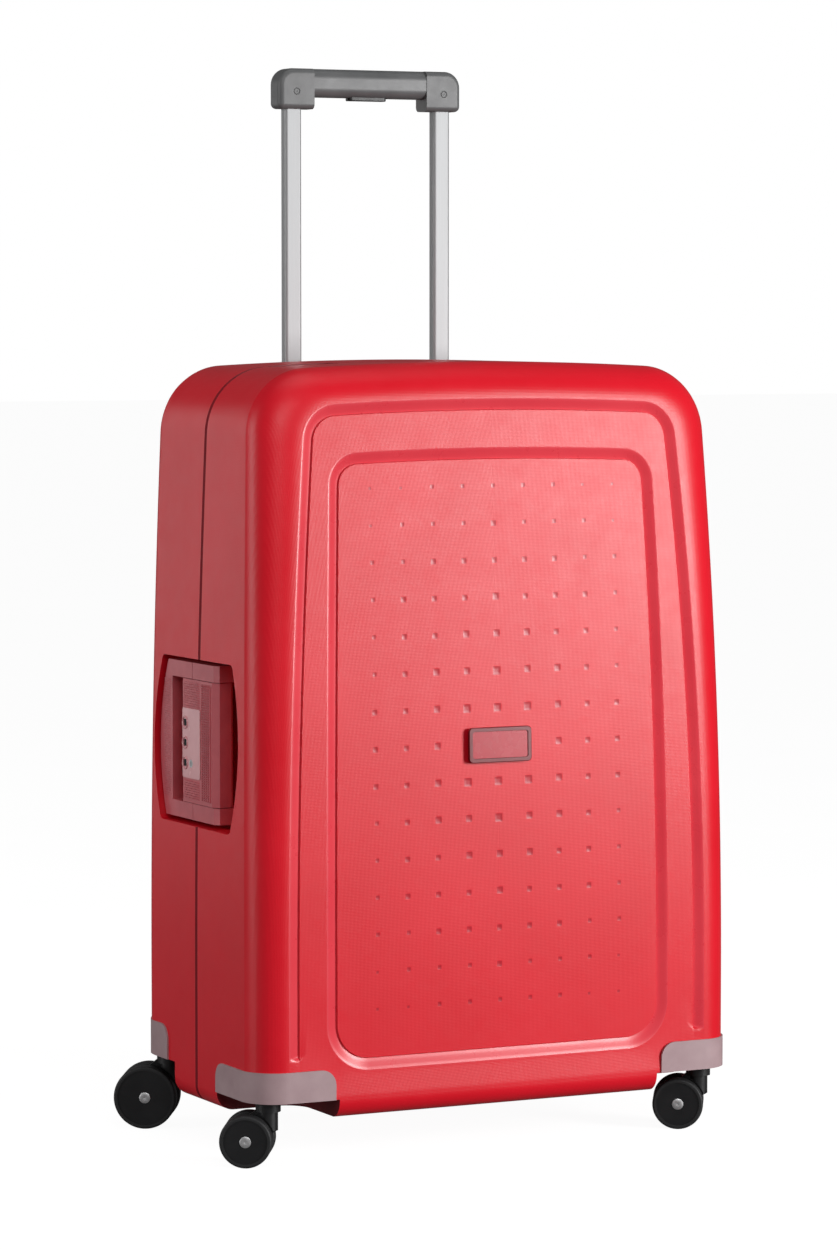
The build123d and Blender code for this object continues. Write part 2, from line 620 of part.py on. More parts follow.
with BuildPart() as trolley_grip:
    with BuildSketch(Plane.YZ.offset(-CAP_INNER)):
        with Locations((TUBE_Y, HANDLE_TOP - GRIP_HEIGHT / 2)):
            RectangleRounded(GRIP_DEPTH, GRIP_HEIGHT, 9)
    extrude(amount=2 * CAP_INNER)
    with BuildSketch(Plane.YZ.offset(-CAP_INNER)):
        with Locations((TUBE_Y, BAR_LOW + 4.5)):
            Rectangle(TUNNEL_WIDTH, 10)
    extrude(amount=2 * CAP_INNER, mode=Mode.SUBTRACT)
    with BuildSketch(Plane.XY.offset(GRIP_LOW - 1)):
        with Locations((0, TUBE_Y)):
            RectangleRounded(BUTTON_LENGTH, BUTTON_WIDTH, 4)
    extrude(amount=12, mode=Mode.SUBTRACT)
save(trolley_grip, "trolley_grip")


def grip_end_cap(turn):
    """End cap of the grip, rounded at its outer top corner, with the tube's socket."""
    with BuildPart() as cap:
        with BuildSketch(Plane.XZ.offset(-TUBE_Y - GRIP_DEPTH / 2 - 0.5)) as face:
            with Locations((turn * (CAP_INNER + CAP_OUTER) / 2, HANDLE_TOP - CAP_HEIGHT / 2)):
                Rectangle(CAP_OUTER - CAP_INNER, CAP_HEIGHT)
            fillet(face.vertices().group_by(Axis.Y)[-1].sort_by(Axis.X)[-1 if turn > 0 else 0], 15)
            fillet(face.vertices().group_by(Axis.Y)[0].sort_by(Axis.X)[-1 if turn > 0 else 0], 5)
        extrude(amount=GRIP_DEPTH + 1)
        outer_edges = cap.edges().filter_by(lambda e: abs(abs(e.center().Y - TUBE_Y) - 11.5) < 0.1
                                            and abs(e.center().X) > CAP_INNER + 2)
        fillet(outer_edges, 5)
        with BuildSketch(Plane.XY.offset(HANDLE_TOP - CAP_HEIGHT - 1)):
            with Locations((turn * TUBE_X, TUBE_Y)):
                RectangleRounded(TUBE_WIDTH, TUBE_DEPTH, 3)
        extrude(amount=TUBE_TOP - HANDLE_TOP + CAP_HEIGHT + 1, mode=Mode.SUBTRACT)
        with BuildSketch(Plane.YZ.offset(turn * CAP_INNER)):
            with Locations((TUBE_Y, BAR_LOW + 3.5)):
                Rectangle(TUNNEL_WIDTH, 12)
        extrude(amount=turn * (TUBE_X - CAP_INNER + 5), mode=Mode.SUBTRACT)
    return cap.part


for turn, hand in ((-1, "left"), (1, "right")):
    cap_form = grip_end_cap(turn)
    with BuildPart() as grip_cap:
        add(cap_form)
    save(grip_cap, f"trolley_end_cap_{hand}")

with BuildPart() as trolley_release_button:
    with BuildSketch(Plane.XY.offset(GRIP_LOW - 2.5)):
        with Locations((0, TUBE_Y)):
            RectangleRounded(BUTTON_LENGTH - 1, BUTTON_WIDTH - 1, 3.5)
    extrude(amount=BAR_LOW - GRIP_LOW + 2.5 - 1.6)
    with BuildSketch(Plane.XY.offset(BAR_LOW - 1.6)):
        with Locations((0, TUBE_Y)):
            Rectangle(BUTTON_LENGTH - 10, 6)
    extrude(amount=1.6)
    fillet(trolley_release_button.edges().group_by(Axis.Z)[0], 0.8)
save(trolley_release_button, "trolley_release_button")

with BuildPart() as trolley_release_bar:
    with BuildSketch(Plane.XY.offset(BAR_LOW)):
        with Locations((0, TUBE_Y)):
            Rectangle(2 * TUBE_X + 6, 6)
    extrude(amount=BAR_HEIGHT - 1)
    with BuildSketch(Plane.XY.offset(TUBE_TOP - TUBE_LENGTH + 31)):
        with Locations(TUBE_SPOTS):
            Circle(ROD_RADIUS)
    extrude(amount=BAR_LOW - TUBE_TOP + TUBE_LENGTH - 31)
save(trolley_release_bar, "trolley_release_bar")


# ---------------------------------------------------------------- casters
WHEEL_INNER, WHEEL_OUTER = 6.3, 19.0
TYRE = 3.6
YOKE_WEB = 5.0
AXLE_RADIUS = 3.0
STEM_RADIUS = 4.0
COLUMN_RADIUS = 8.6
HEAD_RADIUS = 11.0
BEARING_GAP = 0.4
FLANGE_RADIUS = 13.0
FLANGE = 2.6
BACKING_RADIUS = 9.6
BACKING = 3.0


def caster_plane(x, y):
    """Plane of one caster on the floor: x runs from the stem to the axle, y along the axle."""
    turn = radians(CASTER_TURN)
    return Plane(origin=(x, y, 0), x_dir=(-cos(turn), sin(turn), 0), z_dir=(0, 0, 1))


def axle_plane(x, y, offset):
    """Upright plane across the axle, offset along it; local x is the trail, local y is up."""
    base = caster_plane(x, y)
    return Plane(origin=base.from_local_coords((0, offset, 0)), x_dir=base.x_dir,
                 z_dir=-base.y_dir)


def wheel_set(x, y, radius, trail):
    """Tyres, hubs and axle of one twin-wheel caster."""
    with BuildPart() as tyres:
        for low, high in ((-WHEEL_OUTER, -WHEEL_INNER), (WHEEL_INNER, WHEEL_OUTER)):
            with BuildSketch(axle_plane(x, y, high)):
                with Locations((trail, radius)):
                    Circle(radius)
                    Circle(radius - TYRE, mode=Mode.SUBTRACT)
            extrude(amount=high - low)
        rims = tyres.edges().filter_by(GeomType.CIRCLE).filter_by(lambda e: e.radius > radius - 1)
        fillet(rims, 2)
    with BuildPart() as hubs:
        for low, high in ((-WHEEL_OUTER, -WHEEL_INNER), (WHEEL_INNER, WHEEL_OUTER)):
            with BuildSketch(axle_plane(x, y, high - 0.8 if high > 0 else high)):
                with Locations((trail, radius)):
                    Circle(radius - TYRE)
                    Circle(AXLE_RADIUS, mode=Mode.SUBTRACT)
            extrude(amount=high - low - 0.8)
    with BuildPart() as axle:
        with BuildSketch(axle_plane(x, y, WHEEL_OUTER - 1.6)):
            with Locations((trail, radius)):
                Circle(AXLE_RADIUS)
        extrude(amount=2 * (WHEEL_OUTER - 1.6))
    return tyres.part, hubs.part, axle.part


def yoke(x, y, radius, trail, bay_top):
    """Swivelling yoke: column under a round head, web between the wheels and riveted stem."""
    head_low, head_high = 2 * radius + 1.6, bay_top - FLANGE - BEARING_GAP
    with BuildPart() as body:
        with BuildSketch(caster_plane(x, y).offset(head_low)):
            Circle(HEAD_RADIUS)
        extrude(amount=head_high - head_low)
        with BuildSketch(caster_plane(x, y).offset(radius * 1.35)):
            Circle(COLUMN_RADIUS)
        extrude(amount=head_high - radius * 1.35)
        for side in (-1, 1):
            start = side * (YOKE_WEB + 0.8)
            with BuildSketch(axle_plane(x, y, start)):
                with Locations((trail, radius)):
                    Circle(radius + 1.6)
            extrude(amount=-side * 20, mode=Mode.SUBTRACT)
        with BuildSketch(axle_plane(x, y, YOKE_WEB)):
            with Locations((trail, radius)):
                Circle(AXLE_RADIUS + 4.5)
            with BuildLine():
                Polyline((-COLUMN_RADIUS + 1, head_high - 2), (COLUMN_RADIUS - 2, head_high - 2),
                         (trail, 2 * radius - 3), (trail + 9, radius), (trail - 7, radius - 2),
                         (-COLUMN_RADIUS + 1, radius * 1.35), close=True)
            make_face()
        extrude(amount=2 * YOKE_WEB)
        with BuildSketch(axle_plane(x, y, 30)):
            with Locations((trail, radius)):
                Circle(AXLE_RADIUS + RUNNING)
        extrude(amount=60, mode=Mode.SUBTRACT)
        stem_top = bay_top + WALL + BACKING + 1
        with BuildSketch(caster_plane(x, y).offset(head_high - 1)):
            Circle(STEM_RADIUS)
        extrude(amount=stem_top - head_high + 1)
        with BuildSketch(caster_plane(x, y).offset(stem_top)):
            Circle(STEM_RADIUS + 2)
        extrude(amount=2)
    return body.part


def bearings(y, bay_top):
    """Flanged bearings of one pair of casters; each fills its hole and carries a stem."""
    with BuildPart() as cups:
        for turn in (-1, 1):
            spot = caster_plane(turn * CASTER_X, y)
            with BuildSketch(spot.offset(bay_top - FLANGE)):
                Circle(FLANGE_RADIUS)
            extrude(amount=FLANGE)
            with BuildSketch(spot.offset(bay_top)):
                Circle(SOCKET_NECK)
            extrude(amount=WALL)
            with BuildSketch(spot.offset(bay_top - FLANGE)):
                Circle(STEM_RADIUS + RUNNING)
            extrude(amount=FLANGE + WALL, mode=Mode.SUBTRACT)
    return cups.part


def backing_plates(y, bay_top):
    """Steel plates inside the case that one pair of bearings is riveted against."""
    with BuildPart() as plates:
        for turn in (-1, 1):
            with BuildSketch(caster_plane(turn * CASTER_X, y).offset(bay_top + WALL)):
                Circle(BACKING_RADIUS)
                Circle(STEM_RADIUS + RUNNING, mode=Mode.SUBTRACT)
            extrude(amount=BACKING)
    return plates.part


for end, front in (("front", True), ("back", False)):
    radius = FRONT_WHEEL_RADIUS if front else BACK_WHEEL_RADIUS
    trail = FRONT_TRAIL if front else BACK_TRAIL
    bay_top = FRONT_BAY_TOP if front else BACK_BAY_TOP
    y = caster_y(front)
    for piece, form in (("bearings", bearings(y, bay_top)),
                        ("backing_plates", backing_plates(y, bay_top))):
        with BuildPart() as caster_pair:
            add(form)
        save(caster_pair, f"caster_{end}_{piece}")
    for turn, hand in ((-1, "left"), (1, "right")):
        x = turn * CASTER_X
        tyres, hubs, axle = wheel_set(x, y, radius, trail)
        pieces = (("tyres", tyres), ("hubs", hubs), ("axle", axle),
                  ("yoke", yoke(x, y, radius, trail, bay_top)))
        for piece, form in pieces:
            with BuildPart() as caster_piece:
                add(form)
            save(caster_piece, f"caster_{end}_{hand}_{piece}")


# ---------------------------------------------------------------- inside
DIVIDER_THICKNESS = 3.0
STRAP_WIDTH, STRAP_THICKNESS = 30.0, 1.6
STRAP_X = 84.0
STRAP_LOW, STRAP_HIGH = 120.0, 600.0
BUCKLE_LEVEL = 360.0
BUCKLE_HEIGHT = 50.0
BACK_INSIDE = BACK_DEPTH + PARTING_GAP / 2 - WALL

with BuildPart() as divider_panel:
    with BuildSketch(Plane.XZ.offset(3)) as divider:
        Polygon((-196, 56), (218, 56), (214, 560), (200, 645), (-178, 645), (-196, 560),
                align=None)
        fillet(divider.vertices(), 14)
    extrude(amount=DIVIDER_THICKNESS)
save(divider_panel, "divider_panel")

with BuildPart() as packing_straps:
    with BuildSketch(Plane.XZ.offset(-BACK_INSIDE)):
        for low, high in ((STRAP_LOW, BUCKLE_LEVEL - BUCKLE_HEIGHT / 2),
                          (BUCKLE_LEVEL + BUCKLE_HEIGHT / 2, STRAP_HIGH)):
            with Locations((-STRAP_X, (low + high) / 2), (STRAP_X, (low + high) / 2)):
                Rectangle(STRAP_WIDTH, high - low)
    extrude(amount=STRAP_THICKNESS)
save(packing_straps, "packing_straps")

with BuildPart() as strap_buckles:
    with BuildSketch(Plane.XZ.offset(-BACK_INSIDE)):
        with Locations((-STRAP_X, BUCKLE_LEVEL), (STRAP_X, BUCKLE_LEVEL)):
            RectangleRounded(STRAP_WIDTH + 8, BUCKLE_HEIGHT, 6)
    extrude(amount=7)
    fillet(strap_buckles.edges().group_by(Axis.Y)[0], 2)
save(strap_buckles, "strap_buckles")
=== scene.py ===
"""Looks of a hard-shell four-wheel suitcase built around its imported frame.

Lengths are metres.  Case space has X = 0 on the case's middle plane, Y = 0 on its parting
plane and Z = 0 on the floor; in_frame() moves a case-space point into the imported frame.
"""

import json
import math

import bmesh
import bpy
import numpy as np
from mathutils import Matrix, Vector
from mathutils.bvhtree import BVHTree


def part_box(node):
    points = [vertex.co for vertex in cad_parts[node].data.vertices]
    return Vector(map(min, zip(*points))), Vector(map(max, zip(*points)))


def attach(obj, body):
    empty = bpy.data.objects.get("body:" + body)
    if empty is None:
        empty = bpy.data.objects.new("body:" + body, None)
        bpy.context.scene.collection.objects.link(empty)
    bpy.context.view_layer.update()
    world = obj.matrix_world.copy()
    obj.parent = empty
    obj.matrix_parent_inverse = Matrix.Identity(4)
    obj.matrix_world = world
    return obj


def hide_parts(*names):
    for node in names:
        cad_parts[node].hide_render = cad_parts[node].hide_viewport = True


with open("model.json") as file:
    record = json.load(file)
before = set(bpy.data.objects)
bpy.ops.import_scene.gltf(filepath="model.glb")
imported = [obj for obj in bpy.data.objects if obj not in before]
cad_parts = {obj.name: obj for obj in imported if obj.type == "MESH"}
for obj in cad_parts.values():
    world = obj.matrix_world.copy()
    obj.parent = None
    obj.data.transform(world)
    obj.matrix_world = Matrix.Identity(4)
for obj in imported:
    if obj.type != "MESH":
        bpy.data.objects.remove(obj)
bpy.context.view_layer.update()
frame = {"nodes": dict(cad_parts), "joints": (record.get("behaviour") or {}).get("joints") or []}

# ---------------------------------------------------------------- layout
front_lo, front_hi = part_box("front_shell")
back_lo, back_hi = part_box("back_shell")
MIDDLE_X = (front_lo.x + front_hi.x) / 2
PARTING_Y = (front_hi.y + back_lo.y) / 2
PARTING_HALF_GAP = (back_lo.y - front_hi.y) / 2
HALF_WIDTH = (front_hi.x - front_lo.x) / 2
KEEL_Z = front_lo.z
CROWN_Z = front_hi.z
FRONT_DEPTH = front_hi.y - front_lo.y
BACK_DEPTH = back_hi.y - back_lo.y
WALL = 0.0026
TAPER_START = 0.150
SIDE_RADIUS = 10.72
CROWN_RADIUS = 3.126
SHOULDER_RADIUS = 0.060
LEAN_START = 0.130
LEAN_RADIUS = 6.974
FRONT_ROUND = 0.032
BACK_ROUND = 0.046
KEEL_ROUND = 0.016
FACE_CORNER = 0.006  # radius of the faces' lower corners, where the round edges have run out
KEEL_BLEND = (0.004, 0.018)  # heights above the keel between which its small round grows
RIM_CHAMFER = 0.0023
CREASE = 11.0  # degrees by which the side wall meets the rounding short of tangent
CAVITY_OVERRUN = 20  # half gaps by which the cavity runs past the parting plane
BADGE_Z = 0.360

# Panel grid of the front half: square cells, whole numbers of them across and up.
CELL = 0.0012
PANEL_COLUMNS, PANEL_ROWS = 228, 408
PANEL_HALF = PANEL_COLUMNS * CELL / 2
PANEL_LOW = 0.108
BACK_GRID_HALF, BACK_GRID_LOW, BACK_GRID_HIGH = 0.165, 0.085, 0.615

# Relief bands of the front half: case-loop values (half width, taper radius, low, high,
# lower and upper corner radius) of the outer band, along the face's edge, and of the inner one.
OUTER_BAND = (HALF_WIDTH - 0.030, 5.2, KEEL_Z + KEEL_ROUND, CROWN_Z - 0.031, FACE_CORNER, 0.034)
INNER_BAND = (0.170, 10.7, 0.080, 0.622, 0.042, 0.030)
BAND_DROP = 0.0034
PANEL_SINK = BAND_DROP - 0.0018
BAND_WIDTH = 0.0122
BAND_PROFILE = (  # run in from the outer edge, depth, surface that starts there
    (0.0005, 0.0, "band"), (0.0016, 0.06 * BAND_DROP, "band"), (0.0040, 0.32 * BAND_DROP, "band"),
    (0.0070, 0.68 * BAND_DROP, "band"), (0.0096, 0.94 * BAND_DROP, "band"), (0.0106, BAND_DROP, "wall"),
    (0.0114, PANEL_SINK, "panel"), (BAND_WIDTH, PANEL_SINK, "panel"),
)
BAND_FOOT = (0.0925, 0.0965)  # heights between which the outer band rises out of the face
BAND_FINISH_Z = 0.094  # the outer band's own finish starts here: smoother, with a paler red that is a painted highlight
PANEL_SETTLE = (0.060, 0.130)  # heights between which the face sinks to the panel's level

# Dimples: a grid in cells, largest round the badge.
DOT_COLUMN_PITCH, DOT_ROW_PITCH = 25, 27
DOT_REACH_COLUMNS, DOT_REACH_ROWS = 5, 7
DOT_FADE_COLUMNS, DOT_FADE_ROWS = 6.4, 9.5
DOT_LARGEST, DOT_SHRINK, DOT_SMALLEST = 6.6, 4.8, 2
DOT_MARGIN = 3
DOT_DEPTH = 0.00020


def in_frame(x, y, z):
    """A case-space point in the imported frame."""
    return Vector((x + MIDDLE_X, y + PARTING_Y, z))


def smoothstep(low, high, value):
    """0 below low, 1 above high, smooth between them."""
    t = np.clip((value - low) / (high - low), 0, 1)
    return t * t * (3 - 2 * t)


# ---------------------------------------------------------------- materials
def new_material(name, rough, **values):
    """A principled material and its node tree, with constants set on the shader."""
    material = bpy.data.materials.new(name)
    material.use_nodes = True
    shader = material.node_tree.nodes["Principled BSDF"]
    shader.inputs["Roughness"].default_value = rough
    for socket, value in values.items():
        shader.inputs[socket.replace("_", " ")].default_value = value
    return material, material.node_tree, shader


def object_coordinates(tree):
    """Object-space position, which every pattern here is laid out in."""
    return tree.nodes.new("ShaderNodeTexCoord").outputs["Object"]


def math_node(tree, operation, first, second=None):
    """One math node fed by sockets or numbers."""
    node = tree.nodes.new("ShaderNodeMath")
    node.operation = operation
    for socket, value in zip(node.inputs, (first, second)):
        if isinstance(value, (int, float)):
            socket.default_value = value
        elif value is not None:
            tree.links.new(value, socket)
    return node.outputs[0]


def noise(tree, vector, scale, detail=3.0, roughness=0.55):
    """Fractal noise in object space."""
    node = tree.nodes.new("ShaderNodeTexNoise")
    tree.links.new(vector, node.inputs["Vector"])
    node.inputs["Scale"].default_value = scale
    node.inputs["Detail"].default_value = detail
    node.inputs["Roughness"].default_value = roughness
    return node.outputs["Fac"]


def stretched(tree, vector, x, y, z):
    """Coordinates scaled per axis, for grain that runs one way."""
    node = tree.nodes.new("ShaderNodeMapping")
    node.inputs["Scale"].default_value = (x, y, z)
    tree.links.new(vector, node.inputs["Vector"])
    return node.outputs["Vector"]


def colour_ramp(tree, factor, dark, light, low=0.3, high=0.7):
    """Colour between two shades along a factor."""
    node = tree.nodes.new("ShaderNodeValToRGB")
    node.color_ramp.elements[0].position = low
    node.color_ramp.elements[0].color = (*dark, 1)
    node.color_ramp.elements[1].position = high
    node.color_ramp.elements[1].color = (*light, 1)
    tree.links.new(factor, node.inputs["Fac"])
    return node.outputs["Color"]


def bumped(tree, shader, height, distance, strength=1.0):
    """Drives the shader's normal from a height."""
    node = tree.nodes.new("ShaderNodeBump")
    node.inputs["Distance"].default_value = distance
    node.inputs["Strength"].default_value = strength
    tree.links.new(height, node.inputs["Height"])
    tree.links.new(node.outputs["Normal"], shader.inputs["Normal"])


def rough_between(tree, shader, factor, low, high):
    """Drives the roughness between two values by a factor."""
    node = tree.nodes.new("ShaderNodeMapRange")
    node.inputs["To Min"].default_value = low
    node.inputs["To Max"].default_value = high
    tree.links.new(factor, node.inputs["Value"])
    tree.links.new(node.outputs["Result"], shader.inputs["Roughness"])


def around_case(tree, vector):
    """Distance round the case and height: |x| - y, and z."""
    split = tree.nodes.new("ShaderNodeSeparateXYZ")
    tree.links.new(vector, split.inputs[0])
    across = math_node(tree, "ABSOLUTE", math_node(tree, "SUBTRACT", split.outputs["X"], MIDDLE_X))
    return math_node(tree, "SUBTRACT", across, split.outputs["Y"]), split.outputs["Z"]


def wave(tree, value, pitch):
    """Sine of a length, one period a pitch."""
    return math_node(tree, "SINE", math_node(tree, "MULTIPLY", value, 2 * math.pi / pitch))


EMBOSS_PITCH = 0.0026


def shell_plastic(name, dark, light, rough, weave):
    """Moulded polypropylene: fine diagonal emboss, faint level streaks or neither, slightly cloudy."""
    material, tree, shader = new_material(name, rough, Specular_IOR_Level=0.42)
    place = object_coordinates(tree)
    cloud = noise(tree, place, 9.0, 4.0)
    tree.links.new(colour_ramp(tree, cloud, dark, light), shader.inputs["Base Color"])
    fine = noise(tree, place, 900.0, 2.0)
    rough_between(tree, shader, noise(tree, place, 60.0), rough - 0.05, rough + 0.06)
    if weave == "diagonal":
        across, up = around_case(tree, place)
        rising = wave(tree, math_node(tree, "ADD", across, up), EMBOSS_PITCH)
        falling = wave(tree, math_node(tree, "SUBTRACT", across, up), EMBOSS_PITCH)
        height = math_node(tree, "MULTIPLY", rising, falling)
        height = math_node(tree, "ADD", height, math_node(tree, "MULTIPLY", fine, 0.5))
        bumped(tree, shader, height, 0.00003)
    elif weave == "lines":
        lines = noise(tree, stretched(tree, place, 25, 25, 420), 1.0, 2.0)
        height = math_node(tree, "ADD", lines, math_node(tree, "MULTIPLY", fine, 0.6))
        bumped(tree, shader, height, 0.00004)
    else:
        bumped(tree, shader, fine, 0.00003)
    return material


def grained_plastic(name, dark, light, rough, grain=0.00006, scale=1400.0):
    """Satin plastic with a spark-eroded grain and slightly uneven colour."""
    material, tree, shader = new_material(name, rough)
    place = object_coordinates(tree)
    tree.links.new(colour_ramp(tree, noise(tree, place, 35.0), dark, light), shader.inputs["Base Color"])
    rough_between(tree, shader, noise(tree, place, 120.0), rough - 0.06, rough + 0.08)
    bumped(tree, shader, noise(tree, place, scale, 2.0), grain)
    return material


def brushed_metal(name, dark, light, rough, stretch, grain=0.00002):
    """Metal brushed along one axis: streaks in colour, roughness and bump."""
    material, tree, shader = new_material(name, rough, Metallic=1.0)
    place = stretched(tree, object_coordinates(tree), *stretch)
    streak = noise(tree, place, 1.0, 4.0, 0.6)
    tree.links.new(colour_ramp(tree, streak, dark, light), shader.inputs["Base Color"])
    rough_between(tree, shader, streak, rough - 0.07, rough + 0.10)
    bumped(tree, shader, streak, grain)
    return material


def woven_cloth(name, dark, light, pitch, rough=0.85, relief=0.00025):
    """Plain weave: over-and-under threads with sheen and uneven yarn."""
    material, tree, shader = new_material(name, rough, Sheen_Weight=0.35)
    place = object_coordinates(tree)
    across, up = around_case(tree, place)
    warp, weft = wave(tree, across, pitch), wave(tree, up, pitch)
    threads = math_node(tree, "MULTIPLY", warp, weft)
    yarn = noise(tree, place, 260.0, 3.0)
    mixed = math_node(tree, "ADD", math_node(tree, "MULTIPLY", threads, 0.35), yarn)
    tree.links.new(colour_ramp(tree, mixed, dark, light, 0.1, 0.9), shader.inputs["Base Color"])
    bumped(tree, shader, mixed, relief)
    return material


RED_DARK, RED_LIGHT = (0.70, 0.003, 0.014), (0.76, 0.005, 0.019)
SHELL_WEAVE = shell_plastic("shell_weave", RED_DARK, RED_LIGHT, 0.35, "diagonal")
# Relief bands: the same red plastic, smoother, with a paler red that is a painted highlight of the soft box
# they catch.
SHELL_BAND_PAINTED_HIGHLIGHT = shell_plastic("shell_band_painted_highlight", (0.72, 0.035, 0.055), (0.78, 0.050, 0.070), 0.28, "smooth")
SHELL_SMOOTH = shell_plastic("shell_smooth", RED_DARK, RED_LIGHT, 0.26, "smooth")
SHELL_LINES = shell_plastic("shell_lines", RED_DARK, RED_LIGHT, 0.38, "lines")
# Dimples: the same red plastic; their darker red is painted shade in the shallow hollows.
SHELL_DOT_PAINTED_SHADE = shell_plastic("shell_dot_painted_shade", (0.46, 0.003, 0.015), (0.52, 0.005, 0.020), 0.30, "smooth")
# Very dark red: painted shade on the wheel bays' walls, caster sockets, latch pockets and their latches, and
# the parting groove.
SHELL_PAINTED_SHADE = shell_plastic("shell_painted_shade", (0.20, 0.002, 0.008), (0.26, 0.003, 0.011), 0.42, "smooth")
GUARD_GREY = grained_plastic("guard_grey", (0.37, 0.245, 0.26), (0.44, 0.305, 0.32), 0.48, 0.00009)
LOCK_ROSE = grained_plastic("lock_rose", (0.50, 0.085, 0.105), (0.60, 0.115, 0.135), 0.38)
LOCK_PLATE = grained_plastic("lock_plate_satin", (0.68, 0.29, 0.31), (0.76, 0.35, 0.37), 0.24, 0.00002)
BADGE_RIM = grained_plastic("badge_rim", (0.16, 0.004, 0.010), (0.20, 0.006, 0.013), 0.30, 0.00001)
BADGE_PLATE = grained_plastic("badge_metal", (0.44, 0.014, 0.030), (0.50, 0.020, 0.038), 0.26, 0.00001)
STEEL = brushed_metal("steel", (0.42, 0.42, 0.43), (0.60, 0.60, 0.61), 0.32, (300, 300, 60))
CHROME = brushed_metal("hub_chrome", (0.72, 0.72, 0.73), (0.86, 0.86, 0.87), 0.42, (200, 200, 200))
ALUMINIUM = brushed_metal("aluminium", (0.36, 0.365, 0.37), (0.44, 0.445, 0.45), 0.60, (1400, 1400, 6))
GRIP_GREY = grained_plastic("grip_grey", (0.10, 0.102, 0.104), (0.13, 0.132, 0.134), 0.38, 0.00004)
CAP_GREY = grained_plastic("cap_grey", (0.105, 0.107, 0.109), (0.135, 0.137, 0.139), 0.42, 0.00005)
BLACK = grained_plastic("black_plastic", (0.006, 0.006, 0.007), (0.012, 0.012, 0.013), 0.40)
YOKE_BLACK = grained_plastic("yoke_black", (0.009, 0.009, 0.010), (0.016, 0.016, 0.017), 0.38)
TYRE_RUBBER = grained_plastic("tyre_rubber", (0.011, 0.011, 0.012), (0.020, 0.020, 0.021), 0.58, 0.00012)
LINING = woven_cloth("lining_cloth", (0.060, 0.060, 0.068), (0.105, 0.105, 0.115), 0.0016)
WEBBING = woven_cloth("webbing", (0.012, 0.012, 0.014), (0.045, 0.045, 0.050), 0.0024)


# ---------------------------------------------------------------- mesh helpers
def finish_mesh(name, bm, materials, body, angle=35):
    """A smooth-shaded object from a bmesh, with the given materials, riding on a body."""
    mesh = bpy.data.meshes.new(name)
    bm.to_mesh(mesh)
    bm.free()
    piece = bpy.data.objects.new(name, mesh)
    bpy.context.scene.collection.objects.link(piece)
    for material in materials:
        mesh.materials.append(material)
    shade(piece, angle)
    if body:
        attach(piece, body)
    return piece


def shade(piece, angle=35):
    """Smooth shading with edges past the angle left sharp."""
    piece.data.shade_smooth()
    piece.data.set_sharp_from_angle(angle=math.radians(angle))


def carve(piece, cutter, keep=False):
    """Cuts cutter out of piece, and removes cutter unless it is kept."""
    modifier = piece.modifiers.new("carve", "BOOLEAN")
    modifier.operation = "DIFFERENCE"
    modifier.solver = "MANIFOLD"
    modifier.object = cutter
    apply_modifiers(piece)
    if not keep:
        bpy.data.objects.remove(cutter)


def apply_modifiers(piece):
    """Replaces the piece's mesh with its evaluated mesh."""
    graph = bpy.context.evaluated_depsgraph_get()
    mesh = bpy.data.meshes.new_from_object(piece.evaluated_get(graph))
    piece.modifiers.clear()
    piece.data = mesh


def prism(name, outline, axis, low, high, materials=()):
    """A closed prism over a case-space outline, along axis 0, 1 or 2 from low to high."""
    bm = bmesh.new()
    ends = []
    for level in (low, high):
        row = []
        for a, b in outline:
            place = [a, b]
            place.insert(axis, level)
            row.append(bm.verts.new(in_frame(*place)))
        ends.append(row)
    count = len(outline)
    bm.faces.new(ends[0])
    bm.faces.new(ends[1])
    for i in range(count):
        j = (i + 1) % count
        bm.faces.new((ends[0][i], ends[0][j], ends[1][j], ends[1][i]))
    bmesh.ops.recalc_face_normals(bm, faces=bm.faces)
    return finish_mesh(name, bm, materials, None)


def rounded_box(centre_a, centre_b, half_a, half_b, radius, steps=10):
    """Outline of a rectangle with round corners."""
    points = []
    for quarter, (sa, sb) in enumerate(((1, 1), (-1, 1), (-1, -1), (1, -1))):
        for i in range(steps + 1):
            turn = math.pi / 2 * (quarter + i / steps)
            points.append((centre_a + sa * (half_a - radius) + radius * math.cos(turn),
                           centre_b + sb * (half_b - radius) + radius * math.sin(turn)))
    return points


def ring_of(path, count):
    """Evenly spaced points along a path: count of them, its last point left out."""
    path = np.asarray(path)
    run = np.concatenate([[0], np.cumsum(np.linalg.norm(np.diff(path, axis=0), axis=1))])
    where = np.linspace(0, run[-1], count + 1)[:-1]
    return np.column_stack([np.interp(where, run, path[:, k]) for k in (0, 1)])


def arc(centre, radius, start, end, steps=24):
    """Points of an arc, angles in radians."""
    turns = np.linspace(start, end, steps + 1)
    return np.column_stack([centre[0] + radius * np.cos(turns), centre[1] + radius * np.sin(turns)])


